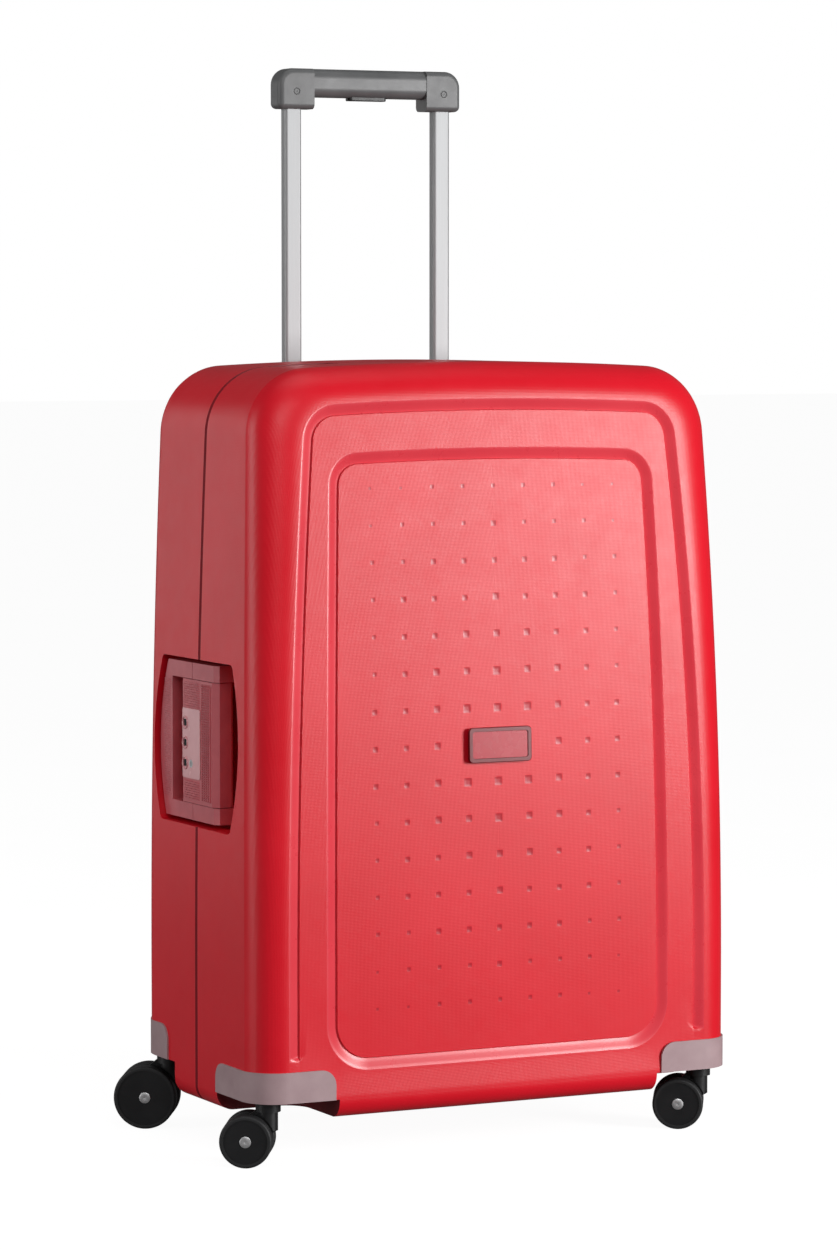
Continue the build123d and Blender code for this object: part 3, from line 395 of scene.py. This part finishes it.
def case_loop(half, taper, low, high, low_radius, high_radius, across, up):
    """Closed loop with the case's outline: tapering sides, crowned top and four round corners.

    It starts at the middle of the lower left corner and runs along the bottom (across
    points), up the right side (up points), back over the top and down the left side.
    """
    def side(z):
        return half - max(0.0, z - TAPER_START) ** 2 / (2 * taper)

    def side_turn(z):
        return math.atan(max(0.0, z - TAPER_START) / taper)

    hub = high - CROWN_RADIUS
    lower, upper = low + low_radius, high
    for _ in range(50):
        z = (lower + upper) / 2
        turn = side_turn(z)
        x = side(z) - high_radius * math.cos(turn)
        reach = math.hypot(x, z - high_radius * math.sin(turn) - hub)
        lower, upper = (z, upper) if reach < CROWN_RADIUS - high_radius else (lower, z)
    turn = side_turn(z)
    centre = (side(z) - high_radius * math.cos(turn), z - high_radius * math.sin(turn))
    crown_turn = math.atan2(centre[1] - hub, centre[0])
    low_centre = (side(low) - low_radius, low + low_radius)
    quarter = math.pi / 4
    middle = (turn + crown_turn) / 2
    flat = np.column_stack([np.linspace(0, low_centre[0], 40), np.full(40, low)])
    half_bottom = np.vstack([flat, arc(low_centre, low_radius, -2 * quarter, -quarter)[1:]])
    heights = np.linspace(low_centre[1], z, 160)
    rise = np.column_stack([[side(h) for h in heights], heights])
    right = np.vstack([arc(low_centre, low_radius, -quarter, 0), rise[1:-1],
                       arc(centre, high_radius, turn, middle)])
    crown_angles = np.linspace(crown_turn, math.pi / 2, 80)
    crown = np.column_stack([CROWN_RADIUS * np.cos(crown_angles),
                             hub + CROWN_RADIUS * np.sin(crown_angles)])
    half_top = np.vstack([arc(centre, high_radius, middle, crown_turn), crown[1:]])
    flip = np.array([-1, 1])
    bottom = np.vstack([(half_bottom * flip)[::-1], half_bottom[1:]])
    top = np.vstack([half_top, (half_top * flip)[::-1][1:]])
    left = (right * flip)[::-1]
    return np.vstack([ring_of(bottom, across), ring_of(right, up),
                      ring_of(top, across), ring_of(left, up)])


def lean(z):
    """How far the front face has leant back at a height."""
    rise = np.maximum(0.0, z - LEAN_START)
    return LEAN_RADIUS - np.sqrt(LEAN_RADIUS ** 2 - rise ** 2)


# ---------------------------------------------------------------- shell halves
def half_rings(front, inset, across, up):
    """Loops (xz, y) of one half's skin, from the parting rim to the edge of its panel.

    Each entry is (points, y, kind), kind naming the surface between it and the next.
    """
    depth = (FRONT_DEPTH if front else BACK_DEPTH) + PARTING_HALF_GAP
    side = -1 if front else 1
    edge = case_loop(HALF_WIDTH - inset, SIDE_RADIUS, KEEL_Z + inset, CROWN_Z - inset,
                     KEEL_ROUND - inset, SHOULDER_RADIUS - inset, across, up)
    if front:
        face = case_loop(*OUTER_BAND, across, up)
    else:
        face = case_loop(HALF_WIDTH - BACK_ROUND, SIDE_RADIUS, KEEL_Z + KEEL_ROUND,
                         CROWN_Z - BACK_ROUND, FACE_CORNER, 0.016, across, up)
    full_round = FRONT_ROUND if front else BACK_ROUND
    low_blend, high_blend = KEEL_Z + KEEL_BLEND[0], KEEL_Z + KEEL_BLEND[1]
    round_y = KEEL_ROUND + (full_round - KEEL_ROUND) * smoothstep(low_blend, high_blend, edge[:, 1])

    def face_y(points, sunk):
        back_off = lean(points[:, 1]) if front else 0
        return side * (depth - inset - back_off - sunk)

    rings = []
    start = side * PARTING_HALF_GAP * (1 if inset == 0 else -CAVITY_OVERRUN)
    crease = math.radians(CREASE)
    wall_end = face_y(edge, (round_y - inset) * (1 - math.sin(crease)))
    if inset == 0:
        rim = case_loop(HALF_WIDTH - RIM_CHAMFER, SIDE_RADIUS, KEEL_Z + RIM_CHAMFER, CROWN_Z - RIM_CHAMFER,
                        KEEL_ROUND - RIM_CHAMFER, SHOULDER_RADIUS - RIM_CHAMFER, across, up)
        rings.append((rim, start, "rim"))
        start = start + side * RIM_CHAMFER
    for t in (0, 0.01, 0.1, 0.2, 0.3, 0.4, 0.5, 0.6, 0.7, 0.8, 0.9, 0.988, 1):
        rings.append((edge, start + (wall_end - start) * t, "corner"))
    turns = np.concatenate([[crease + 0.02], np.linspace(crease, math.pi / 2, 14)[1:]])
    for turn in turns:
        points = edge + (face - edge) * (1 - math.cos(turn) / math.cos(crease))
        rings.append((points, face_y(points, (round_y - inset) * (1 - math.sin(turn))), "corner"))
    if front:
        outer = band_rings(OUTER_BAND, True, across, up, face_y)
        inner = band_rings(INNER_BAND, False, across, up, face_y)
        start, end = outer[-1][0], case_loop(*INNER_BAND, across, up)
        for t in np.linspace(0, 1, 9)[1:]:
            points = start + (end - start) * t
            settle = smoothstep(*PANEL_SETTLE, points[:, 1])
            outer.append((points, face_y(points, PANEL_SINK * (settle * (1 - t) + t)), "panel"))
        rings += outer + inner
    return rings, face_y


def band_rings(band, outer, across, up, face_y):
    """Loops down one relief band; the outer one fades out towards the keel."""
    half, taper, low, high, low_radius, high_radius = band
    rings = []
    for run, depth, kind in BAND_PROFILE:
        low_run = run * 0.25 if outer else run
        points = case_loop(half - run, taper, low + low_run, high - run,
                           max(low_radius - low_run, 0.004), high_radius - run, across, up)
        if outer:
            fade = smoothstep(*BAND_FOOT, points[:, 1])
            settle = smoothstep(*PANEL_SETTLE, points[:, 1])
            ramp = run / BAND_WIDTH if kind == "band" else 1
            sunk = np.maximum(depth * fade, PANEL_SINK * settle * (1 - fade) * ramp)
            rings.append((points, face_y(points, sunk), f"outer {kind}"))
        else:
            rings.append((points, face_y(points, PANEL_SINK + depth), kind))
    return rings


def dot_mask(columns, rows):
    """Depth of the dimples at each panel grid point: a square grid, largest round the badge."""
    depth = np.zeros((rows + 1, columns + 1))
    middle_column, middle_row = columns // 2, round((BADGE_Z - PANEL_LOW) / CELL)
    for i in range(-DOT_REACH_COLUMNS, DOT_REACH_COLUMNS + 1):
        for j in range(-DOT_REACH_ROWS, DOT_REACH_ROWS + 1):
            column, row = middle_column + i * DOT_COLUMN_PITCH, middle_row + j * DOT_ROW_PITCH
            spread = math.hypot(i / DOT_FADE_COLUMNS, j / DOT_FADE_ROWS)
            size = int(round(DOT_LARGEST - DOT_SHRINK * spread))
            under_badge = j == 0 and abs(i) <= 1
            inside = DOT_MARGIN < row < rows - DOT_MARGIN and DOT_MARGIN < column < columns - DOT_MARGIN
            if size < DOT_SMALLEST or under_badge or not inside:
                continue
            first_column, first_row = column - size // 2, row - size // 2
            depth[first_row + 1:first_row + size, first_column + 1:first_column + size] = DOT_DEPTH
    return depth


def half_form(name, front, inset, across, up, dots, materials):
    """A closed solid of one half: skin, panel grid and a flat cap on the parting side."""
    rings, face_y = half_rings(front, inset, across, up)
    last = rings[-1][0]
    if front:
        half, low, high = PANEL_HALF, PANEL_LOW, PANEL_LOW + PANEL_ROWS * CELL
        base = 2 * PANEL_SINK
    else:
        half, low, high = BACK_GRID_HALF, BACK_GRID_LOW, BACK_GRID_HIGH
        base = 0.0
    xs = np.linspace(-half, half, across + 1)
    zs = np.linspace(low, high, up + 1)
    grid_x, grid_z = np.meshgrid(xs, zs)
    flat = np.column_stack([grid_x.ravel(), grid_z.ravel()])
    sunk = base + (dot_mask(across, up).ravel() if dots else 0)
    grid_y = face_y(flat, sunk) * np.ones(len(flat))
    index = np.arange((up + 1) * (across + 1)).reshape(up + 1, across + 1)
    border = np.concatenate([index[0, :-1], index[:-1, -1], index[-1, :0:-1], index[:0:-1, 0]])
    border_points = flat[border]
    for t in np.linspace(0, 1, 7)[1:-1]:
        mixed = last + (border_points - last) * t
        rings.append((mixed, face_y(mixed, base) * np.ones(len(mixed)), "panel"))
    count = len(last)
    places = [np.column_stack([flat[:, 0], grid_y, flat[:, 1]])]
    for points, y, _ in rings:
        places.append(np.column_stack([points[:, 0], y * np.ones(count), points[:, 1]]))
    vertices = np.vstack(places) + np.array([MIDDLE_X, PARTING_Y, 0])
    start = len(flat)
    loops = [start + np.arange(count) + k * count for k in range(len(rings))] + [border]
    quads, kinds = [], []
    # Slot 1 carries the bands' painted highlight, slot 2 the dimples' painted shade, slot 4 the parting
    # groove's painted shade.
    slots = {"corner": 0, "panel": 0, "wall": 1, "band": 1, "dot": 2, "rim": 4,
             "outer band": 1, "outer wall": 1, "outer panel": 0}
    for k in range(len(loops) - 1):
        one, two = loops[k], loops[k + 1]
        quads.append(np.column_stack([one, np.roll(one, -1), np.roll(two, -1), two]))
        points, _, kind = rings[k]
        slot = np.full(count, slots[kind])
        if kind in ("outer band", "outer wall"):
            slot = np.where(points[:, 1] < BAND_FINISH_Z, slots["panel"], slot)
        kinds.append(slot)
    cells = np.column_stack([index[:-1, :-1].ravel(), index[:-1, 1:].ravel(),
                             index[1:, 1:].ravel(), index[1:, :-1].ravel()])
    quads.append(cells)
    deep = np.broadcast_to(sunk, len(flat)) > base + DOT_DEPTH / 2
    kinds.append(np.where(deep[cells].any(axis=1), slots["dot"], slots["panel"]))
    faces = np.vstack(quads)
    mesh = bpy.data.meshes.new(name)
    mesh.from_pydata(vertices.tolist(), [], faces.tolist() + [loops[0][::-1].tolist()])
    for material in materials:
        mesh.materials.append(material)
    mesh.polygons.foreach_set("material_index", np.concatenate(kinds + [[0]]).astype(np.int32))
    bm = bmesh.new()
    bm.from_mesh(mesh)
    bmesh.ops.recalc_face_normals(bm, faces=bm.faces)
    bm.to_mesh(mesh)
    bm.free()
    piece = bpy.data.objects.new(name, mesh)
    bpy.context.scene.collection.objects.link(piece)
    return piece


BAYS = {True: (0.158, 0.044, 0.057), False: (0.148, 0.048, 0.070)}  # inner x, inner y and top, by front
BAY_RADIUS = 0.024
BAY_REACH = 0.160
SOCKET_RADIUS = 0.009
CASTER_X = 0.215
CASTER_Y = {True: -0.104, False: 0.112}
POCKET_LOW, POCKET_HIGH = 0.286, 0.434
POCKET_FRONT_Y, POCKET_BACK_Y = -0.070, 0.0795
POCKET_BOW = 0.0165
POCKET_CORNER = 0.007
POCKET_FLOOR_X = -HALF_WIDTH + 0.033
LATCH_X, LATCH_LENGTH, LATCH_WIDTH, LATCH_SINK = -0.132, 0.062, 0.026, 0.007
LATCH_CORNER = 0.003
LATCH_FALL = 0.003  # how far the crowned top has fallen where the latch sits
PAST_FACE = 0.020
PAST_END = 0.030
LINING_REACH = 0.0002


def pocket_outline(grow):
    """Lens-shaped outline (y, z) of the side pocket, grown by grow, with round corners."""
    low, high = POCKET_LOW - grow, POCKET_HIGH + grow
    middle, half = (low + high) / 2, (high - low) / 2
    radius = POCKET_CORNER + grow
    points = []
    for side, edge, bow in ((1, POCKET_BACK_Y + grow, POCKET_BOW), (-1, POCKET_FRONT_Y - grow, POCKET_BOW)):
        heights = np.linspace(-half + radius, half - radius, 24) * side
        run = [(edge + side * bow * (1 - (h / half) ** 2), middle + h) for h in heights]
        start = (run[0][0] - side * radius, middle - side * (half - radius))
        end = (run[-1][0] - side * radius, middle + side * (half - radius))
        turns = np.linspace(0, math.pi / 2, 7)
        reach = side * radius
        lead = [(start[0] + reach * math.sin(t), start[1] - reach * math.cos(t)) for t in turns]
        tail = [(end[0] + reach * math.cos(t), end[1] + reach * math.sin(t)) for t in turns]
        points += lead[:-1] + run + tail[1:]
    return points


def half_cutters(front, grow):
    """Wheel bays, side pocket, latch pockets and, ungrown, the caster sockets of one half."""
    side = -1 if front else 1
    bay_x, bay_y, bay_top = BAYS[front]
    tag = f"{'front' if front else 'back'}_{grow > 0}"
    cutters = []
    # The bay, socket and latch cutters leave their very dark red, painted shade, on the walls they cut.
    for turn in (-1, 1):
        outline = rounded_box(turn * (bay_x - grow + BAY_REACH), side * (bay_y - grow + BAY_REACH),
                              BAY_REACH, BAY_REACH, BAY_RADIUS + grow)
        cutters.append(prism(f"bay_{tag}_{turn}", outline, 2, -0.01, bay_top + grow, [SHELL_PAINTED_SHADE]))
        if grow == 0:
            spot = rounded_box(turn * CASTER_X, CASTER_Y[front], SOCKET_RADIUS, SOCKET_RADIUS, SOCKET_RADIUS)
            cutters.append(prism(f"socket_{tag}_{turn}", spot, 2, bay_top - 0.002, bay_top + 0.006,
                                 [SHELL_PAINTED_SHADE]))
    cutters.append(prism(f"pocket_{tag}", pocket_outline(grow), 0, -HALF_WIDTH - PAST_FACE,
                         POCKET_FLOOR_X + grow, [SHELL_SMOOTH]))
    latch = rounded_box(LATCH_X, 0, LATCH_LENGTH / 2 + grow, LATCH_WIDTH / 2 + grow, LATCH_CORNER)
    cutters.append(prism(f"latch_top_{tag}", latch, 2, CROWN_Z - LATCH_FALL - LATCH_SINK - grow,
                         CROWN_Z + PAST_END, [SHELL_PAINTED_SHADE]))
    cutters.append(prism(f"latch_low_{tag}", latch, 2, KEEL_Z - PAST_END, KEEL_Z + LATCH_SINK + grow,
                         [SHELL_PAINTED_SHADE]))
    return cutters


def line_inside(piece, cavity, slot):
    """Gives the faces that lie on the cavity's surface the lining material."""
    source = bmesh.new()
    source.from_mesh(cavity.data)
    tree = BVHTree.FromBMesh(source)
    for polygon in piece.data.polygons:
        _, _, _, distance = tree.find_nearest(polygon.center, LINING_REACH)
        if distance is not None:
            polygon.material_index = slot
    source.free()


def build_half(front):
    """Makes one finished shell half, which stands for its CAD node."""
    name = "front" if front else "back"
    skins = [SHELL_WEAVE, SHELL_BAND_PAINTED_HIGHLIGHT, SHELL_DOT_PAINTED_SHADE] if front else [SHELL_LINES, SHELL_BAND_PAINTED_HIGHLIGHT, SHELL_DOT_PAINTED_SHADE]
    across, up = (PANEL_COLUMNS, PANEL_ROWS) if front else (132, 236)
    shell = half_form(f"{name}_case_shell", front, 0, across, up, front, skins + [LINING, SHELL_PAINTED_SHADE])
    cavity = half_form(f"{name}_cavity", front, WALL, 96, 168, False, [LINING])
    for cutter in half_cutters(front, WALL):
        carve(cavity, cutter)
    for cutter in half_cutters(front, 0):
        carve(shell, cutter)
    carve(shell, cavity, keep=True)
    line_inside(shell, cavity, list(shell.data.materials).index(LINING))
    bpy.data.objects.remove(cavity)
    shade(shell)
    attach(shell, f"{name}_case")
    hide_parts(f"{name}_shell")


build_half(True)
build_half(False)

# ---------------------------------------------------------------- carried-over nodes
FINISHES = {
    "front_shell": SHELL_WEAVE, "back_shell": SHELL_LINES, "corner_guard": GUARD_GREY,
    "badge_frame": BADGE_RIM, "badge_plate": BADGE_PLATE, "carry_handle": LOCK_ROSE,
    "lock_frame": LOCK_ROSE, "lock_lever": LOCK_ROSE, "lock_plate": LOCK_PLATE, "lock_dial_axle": STEEL,
    "lock_dial": BLACK, "lock_key_cylinder": STEEL, "lock_pivot_pin": STEEL,
    # The latches, sunk in their pockets, take the pockets' very dark red painted shade.
    "top_latch": SHELL_PAINTED_SHADE, "bottom_latch": SHELL_PAINTED_SHADE, "latch_pins": STEEL, "latch_keepers": STEEL,
    "hinge_leaves": SHELL_SMOOTH, "hinge_pins": STEEL,
    "trolley_tubes": ALUMINIUM, "trolley_channels": ALUMINIUM, "trolley_grip": GRIP_GREY,
    "trolley_end_cap": CAP_GREY, "trolley_housing_screws": STEEL, "trolley_housing": SHELL_LINES,
    "trolley_foot_bracket": STEEL, "trolley_collar": BLACK, "trolley_lock_plugs": BLACK,
    "trolley_release_bar": STEEL, "trolley_release_button": BLACK,
    "divider_panel": LINING, "packing_straps": WEBBING, "strap_buckles": BLACK,
}


def finish_of(node):
    """Material of a carried-over node."""
    if node.startswith("caster_"):
        parts = {"yoke": YOKE_BLACK, "hubs": BLACK, "tyres": TYRE_RUBBER, "axle": STEEL,
                 "bearings": BLACK, "plates": STEEL}
        return parts[node.split("_")[-1]]
    starts = [key for key in FINISHES if node.startswith(key)]
    return FINISHES[max(starts, key=len)]


for node, piece in frame["nodes"].items():
    piece.data.materials.clear()
    piece.data.materials.append(finish_of(node))
    shade(piece, 30)

# ---------------------------------------------------------------- small relief and fittings
LOCK_FACE_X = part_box("lock_lever")[0].x - MIDDLE_X
LEVER_LOW, LEVER_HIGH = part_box("lock_lever")[0].z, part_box("lock_lever")[1].z
PLATE_LO, PLATE_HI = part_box("lock_plate")
DIAL_SPOTS = [(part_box(f"lock_dial_{n}")[0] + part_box(f"lock_dial_{n}")[1]) / 2 for n in (1, 2, 3)]
RIB_PITCH = 0.0021
RIB_MARGIN_LOW, RIB_MARGIN_HIGH = 0.004, 0.003
PLATE_MARGIN = 0.0015
HOLE_PITCH = 0.0044
HOLE_FIELD_LOW = -0.0195


def studs(name, spots, base_x, height, material, body):
    """Small chamfered studs or ribs on a wall facing -X: (y, z, half_y, half_z) each."""
    bm = bmesh.new()
    corners = ((-1, -1), (1, -1), (1, 1), (-1, 1))
    for y, z, half_y, half_z in spots:
        rows = []
        for x, draw in ((base_x + 0.0002, 1.0), (base_x - height * 0.5, 0.92), (base_x - height, 0.62)):
            reach_y, reach_z = half_y * draw, half_z - min(half_y, half_z) * (1 - draw)
            rows.append([bm.verts.new(in_frame(x, y + a * reach_y, z + b * reach_z)) for a, b in corners])
        for one, two in zip(rows, rows[1:]):
            for i in range(4):
                bm.faces.new((one[i], one[(i + 1) % 4], two[(i + 1) % 4], two[i]))
        bm.faces.new(rows[-1])
        bm.faces.new(rows[0][::-1])
    bmesh.ops.recalc_face_normals(bm, faces=bm.faces)
    piece = finish_mesh(name, bm, [material], body, 30)
    return piece


def lathe(name, spots, profile, material, body, axis, steps=40):
    """Closed profiles (out, radius) turned about an axis through each spot, facing along it."""
    bm = bmesh.new()
    forward = Vector(axis).normalized()
    first = forward.orthogonal().normalized()
    second = forward.cross(first)
    for spot in spots:
        rows = []
        for i in range(steps):
            turn = 2 * math.pi * i / steps
            spoke = first * math.cos(turn) + second * math.sin(turn)
            rows.append([bm.verts.new(Vector(spot) + forward * out + spoke * radius)
                         for out, radius in profile])
        for i in range(steps):
            one, two = rows[i], rows[(i + 1) % steps]
            for k in range(len(profile)):
                m = (k + 1) % len(profile)
                bm.faces.new((one[k], one[m], two[m], two[k]))
    bmesh.ops.recalc_face_normals(bm, faces=bm.faces)
    piece = finish_mesh(name, bm, [material], body, 30)
    return piece


def lock_relief():
    """Ribs and a pierced grid on the lock lever round its plate, and ribs on the carry handle's bar."""
    plate_low_y, plate_high_y = PLATE_LO.y - PARTING_Y, PLATE_HI.y - PARTING_Y
    field_low, field_high = HOLE_FIELD_LOW, plate_low_y - 0.0010
    levels = np.arange(LEVER_LOW + RIB_MARGIN_LOW, LEVER_HIGH - RIB_MARGIN_HIGH, RIB_PITCH)
    spots = []
    for level in levels:
        if not PLATE_LO.z - PLATE_MARGIN < level < PLATE_HI.z + PLATE_MARGIN:
            spots.append(((plate_low_y + plate_high_y) / 2, level, 0.0178, 0.0006))
        spots.append(((field_low + field_high) / 2, level, (field_high - field_low) / 2, 0.00048))
    for y in np.arange(field_low + 0.0012, field_high, HOLE_PITCH):
        spots.append((y, (LEVER_LOW + LEVER_HIGH) / 2, 0.0012, (LEVER_HIGH - LEVER_LOW) / 2 - 0.0035))
    studs("lock_lever_relief", spots, LOCK_FACE_X, 0.0009, LOCK_ROSE, "lock")
    bars = [(0.0745 + 0.0025 * (1 - ((level - BADGE_Z) / 0.07) ** 2), level, 0.0075, 0.0006)
            for level in levels]
    handle_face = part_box("carry_handle")[0].x - MIDDLE_X
    studs("carry_handle_ribs", bars, handle_face, 0.0005, LOCK_ROSE, "back_case")


def fittings():
    """Rims round the dial windows, screws in the grip's end caps and plain caps on the wheel hubs."""
    face = PLATE_LO.x
    rim = [(0.0, 0.0043), (0.0006, 0.0046), (0.0009, 0.0052), (0.0006, 0.0058), (0.0, 0.0060)]
    windows = [(face, spot.y, spot.z) for spot in DIAL_SPOTS]
    lathe("lock_window_rims", windows, rim, LOCK_PLATE, "lock", (-1, 0, 0))
    caps = [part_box(f"trolley_end_cap_{hand}") for hand in ("left", "right")]
    spots = [((lo.x + hi.x) / 2, lo.y, lo.z + 0.016) for lo, hi in caps]
    screw_rim = [(-0.0004, 0.0022), (0.0003, 0.0024), (0.0005, 0.0030), (-0.0004, 0.0036)]
    lathe("grip_screw_rims", spots, screw_rim, CAP_GREY, "trolley", (0, -1, 0))
    screw = [(-0.0006, 0.00001), (0.00005, 0.00001), (0.0001, 0.0009), (-0.0002, 0.0011),
             (-0.0002, 0.0021), (-0.0006, 0.0021)]
    lathe("grip_screws", spots, screw, BLACK, "trolley", (0, -1, 0))
    disc = [(-0.0006, 0.0004), (0.0004, 0.0004), (0.0006, 0.0012), (0.0007, 0.0040), (0.0003, 0.0050),
            (-0.0006, 0.0052)]
    for joint in frame["joints"]:
        if joint["name"].endswith("_rolls"):
            caster = joint["name"].removesuffix("_rolls")
            centre, axle = Vector(joint["pos_m"]), Vector(joint["axis"]).normalized()
            hubs = frame["nodes"][f"{caster}_hubs"].data.vertices
            along = [(vertex.co - centre).dot(axle) for vertex in hubs]
            for end, reach, facing in (("outer", max(along), axle), ("inner", min(along), -axle)):
                lathe(f"hub_disc_{caster}_{end}", [centre + axle * reach], disc, CHROME,
                      f"{caster}_wheels", facing)


lock_relief()
fittings()

# ---------------------------------------------------------------- stage, light and camera
def area_light(name, place, target, width, height, power):
    """A soft rectangular light aimed at a point."""
    data = bpy.data.lights.new(name, "AREA")
    data.shape = "RECTANGLE"
    data.size, data.size_y = width, height
    data.energy = power
    lamp = bpy.data.objects.new(name, data)
    lamp.location = place
    lamp.rotation_euler = (Vector(target) - Vector(place)).to_track_quat("-Z", "Y").to_euler()
    bpy.context.scene.collection.objects.link(lamp)


def studio():
    """White floor and sky, dimmer in reflections than to the camera, and five soft boxes."""
    bm = bmesh.new()
    bmesh.ops.create_grid(bm, x_segments=24, y_segments=24, size=30.0)
    floor = finish_mesh("floor", bm, [], None)
    material, tree, shader = new_material("floor_white", 0.9, Specular_IOR_Level=0.1)
    shader.inputs["Emission Color"].default_value = (1, 1, 1, 1)
    glow = tree.nodes.new("ShaderNodeMapRange")
    glow.inputs["To Min"].default_value = 0.05
    glow.inputs["To Max"].default_value = 0.95
    tree.links.new(tree.nodes.new("ShaderNodeLightPath").outputs["Is Camera Ray"], glow.inputs["Value"])
    tree.links.new(glow.outputs["Result"], shader.inputs["Emission Strength"])
    place = object_coordinates(tree)
    tree.links.new(colour_ramp(tree, noise(tree, place, 3.0), (0.13, 0.13, 0.13), (0.15, 0.15, 0.15)),
                   shader.inputs["Base Color"])
    floor.data.materials.append(material)
    bpy.context.scene.view_settings.view_transform = "Standard"
    world = bpy.data.worlds.new("sky")
    world.use_nodes = True
    nodes, links = world.node_tree.nodes, world.node_tree.links
    nodes["Background"].inputs["Color"].default_value = (1, 1, 1, 1)
    seen = nodes.new("ShaderNodeLightPath").outputs["Is Camera Ray"]
    strength = nodes.new("ShaderNodeMapRange")
    strength.inputs["To Min"].default_value = 0.12
    strength.inputs["To Max"].default_value = 1.0
    links.new(seen, strength.inputs["Value"])
    links.new(strength.outputs["Result"], nodes["Background"].inputs["Strength"])
    bpy.context.scene.world = world
    centre = (0, 0, 0.40)
    area_light("key", (-1.2, -3.2, 2.2), centre, 1.4, 1.8, 28)
    area_light("gloss", (1.85, -2.5, 0.88), (0.1, -0.1, 0.5), 1.0, 1.0, 84)
    area_light("left", (-3.0, 0.3, 0.9), centre, 1.0, 2.2, 30)
    area_light("rim", (-1.35, 2.8, 0.7), centre, 1.0, 1.6, 6)
    area_light("top", (0.1, -0.3, 2.8), centre, 1.4, 1.4, 7)


def photo_camera():
    """Camera at the distance, height, bearing and focal length the picture was taken with."""
    data = bpy.data.cameras.new("camera")
    data.sensor_fit = "VERTICAL"
    data.sensor_height = 36.0
    data.lens = 132.9
    camera = bpy.data.objects.new("camera", data)
    bearing, drop = math.radians(26.5), math.radians(3.955)
    camera.location = in_frame(-1.869, -3.714, 0.745)
    ahead = Vector((math.sin(bearing) * math.cos(drop), math.cos(bearing) * math.cos(drop), -math.sin(drop)))
    camera.rotation_euler = ahead.to_track_quat("-Z", "Y").to_euler()
    bpy.context.scene.collection.objects.link(camera)
    bpy.context.scene.camera = camera


studio()
photo_camera()
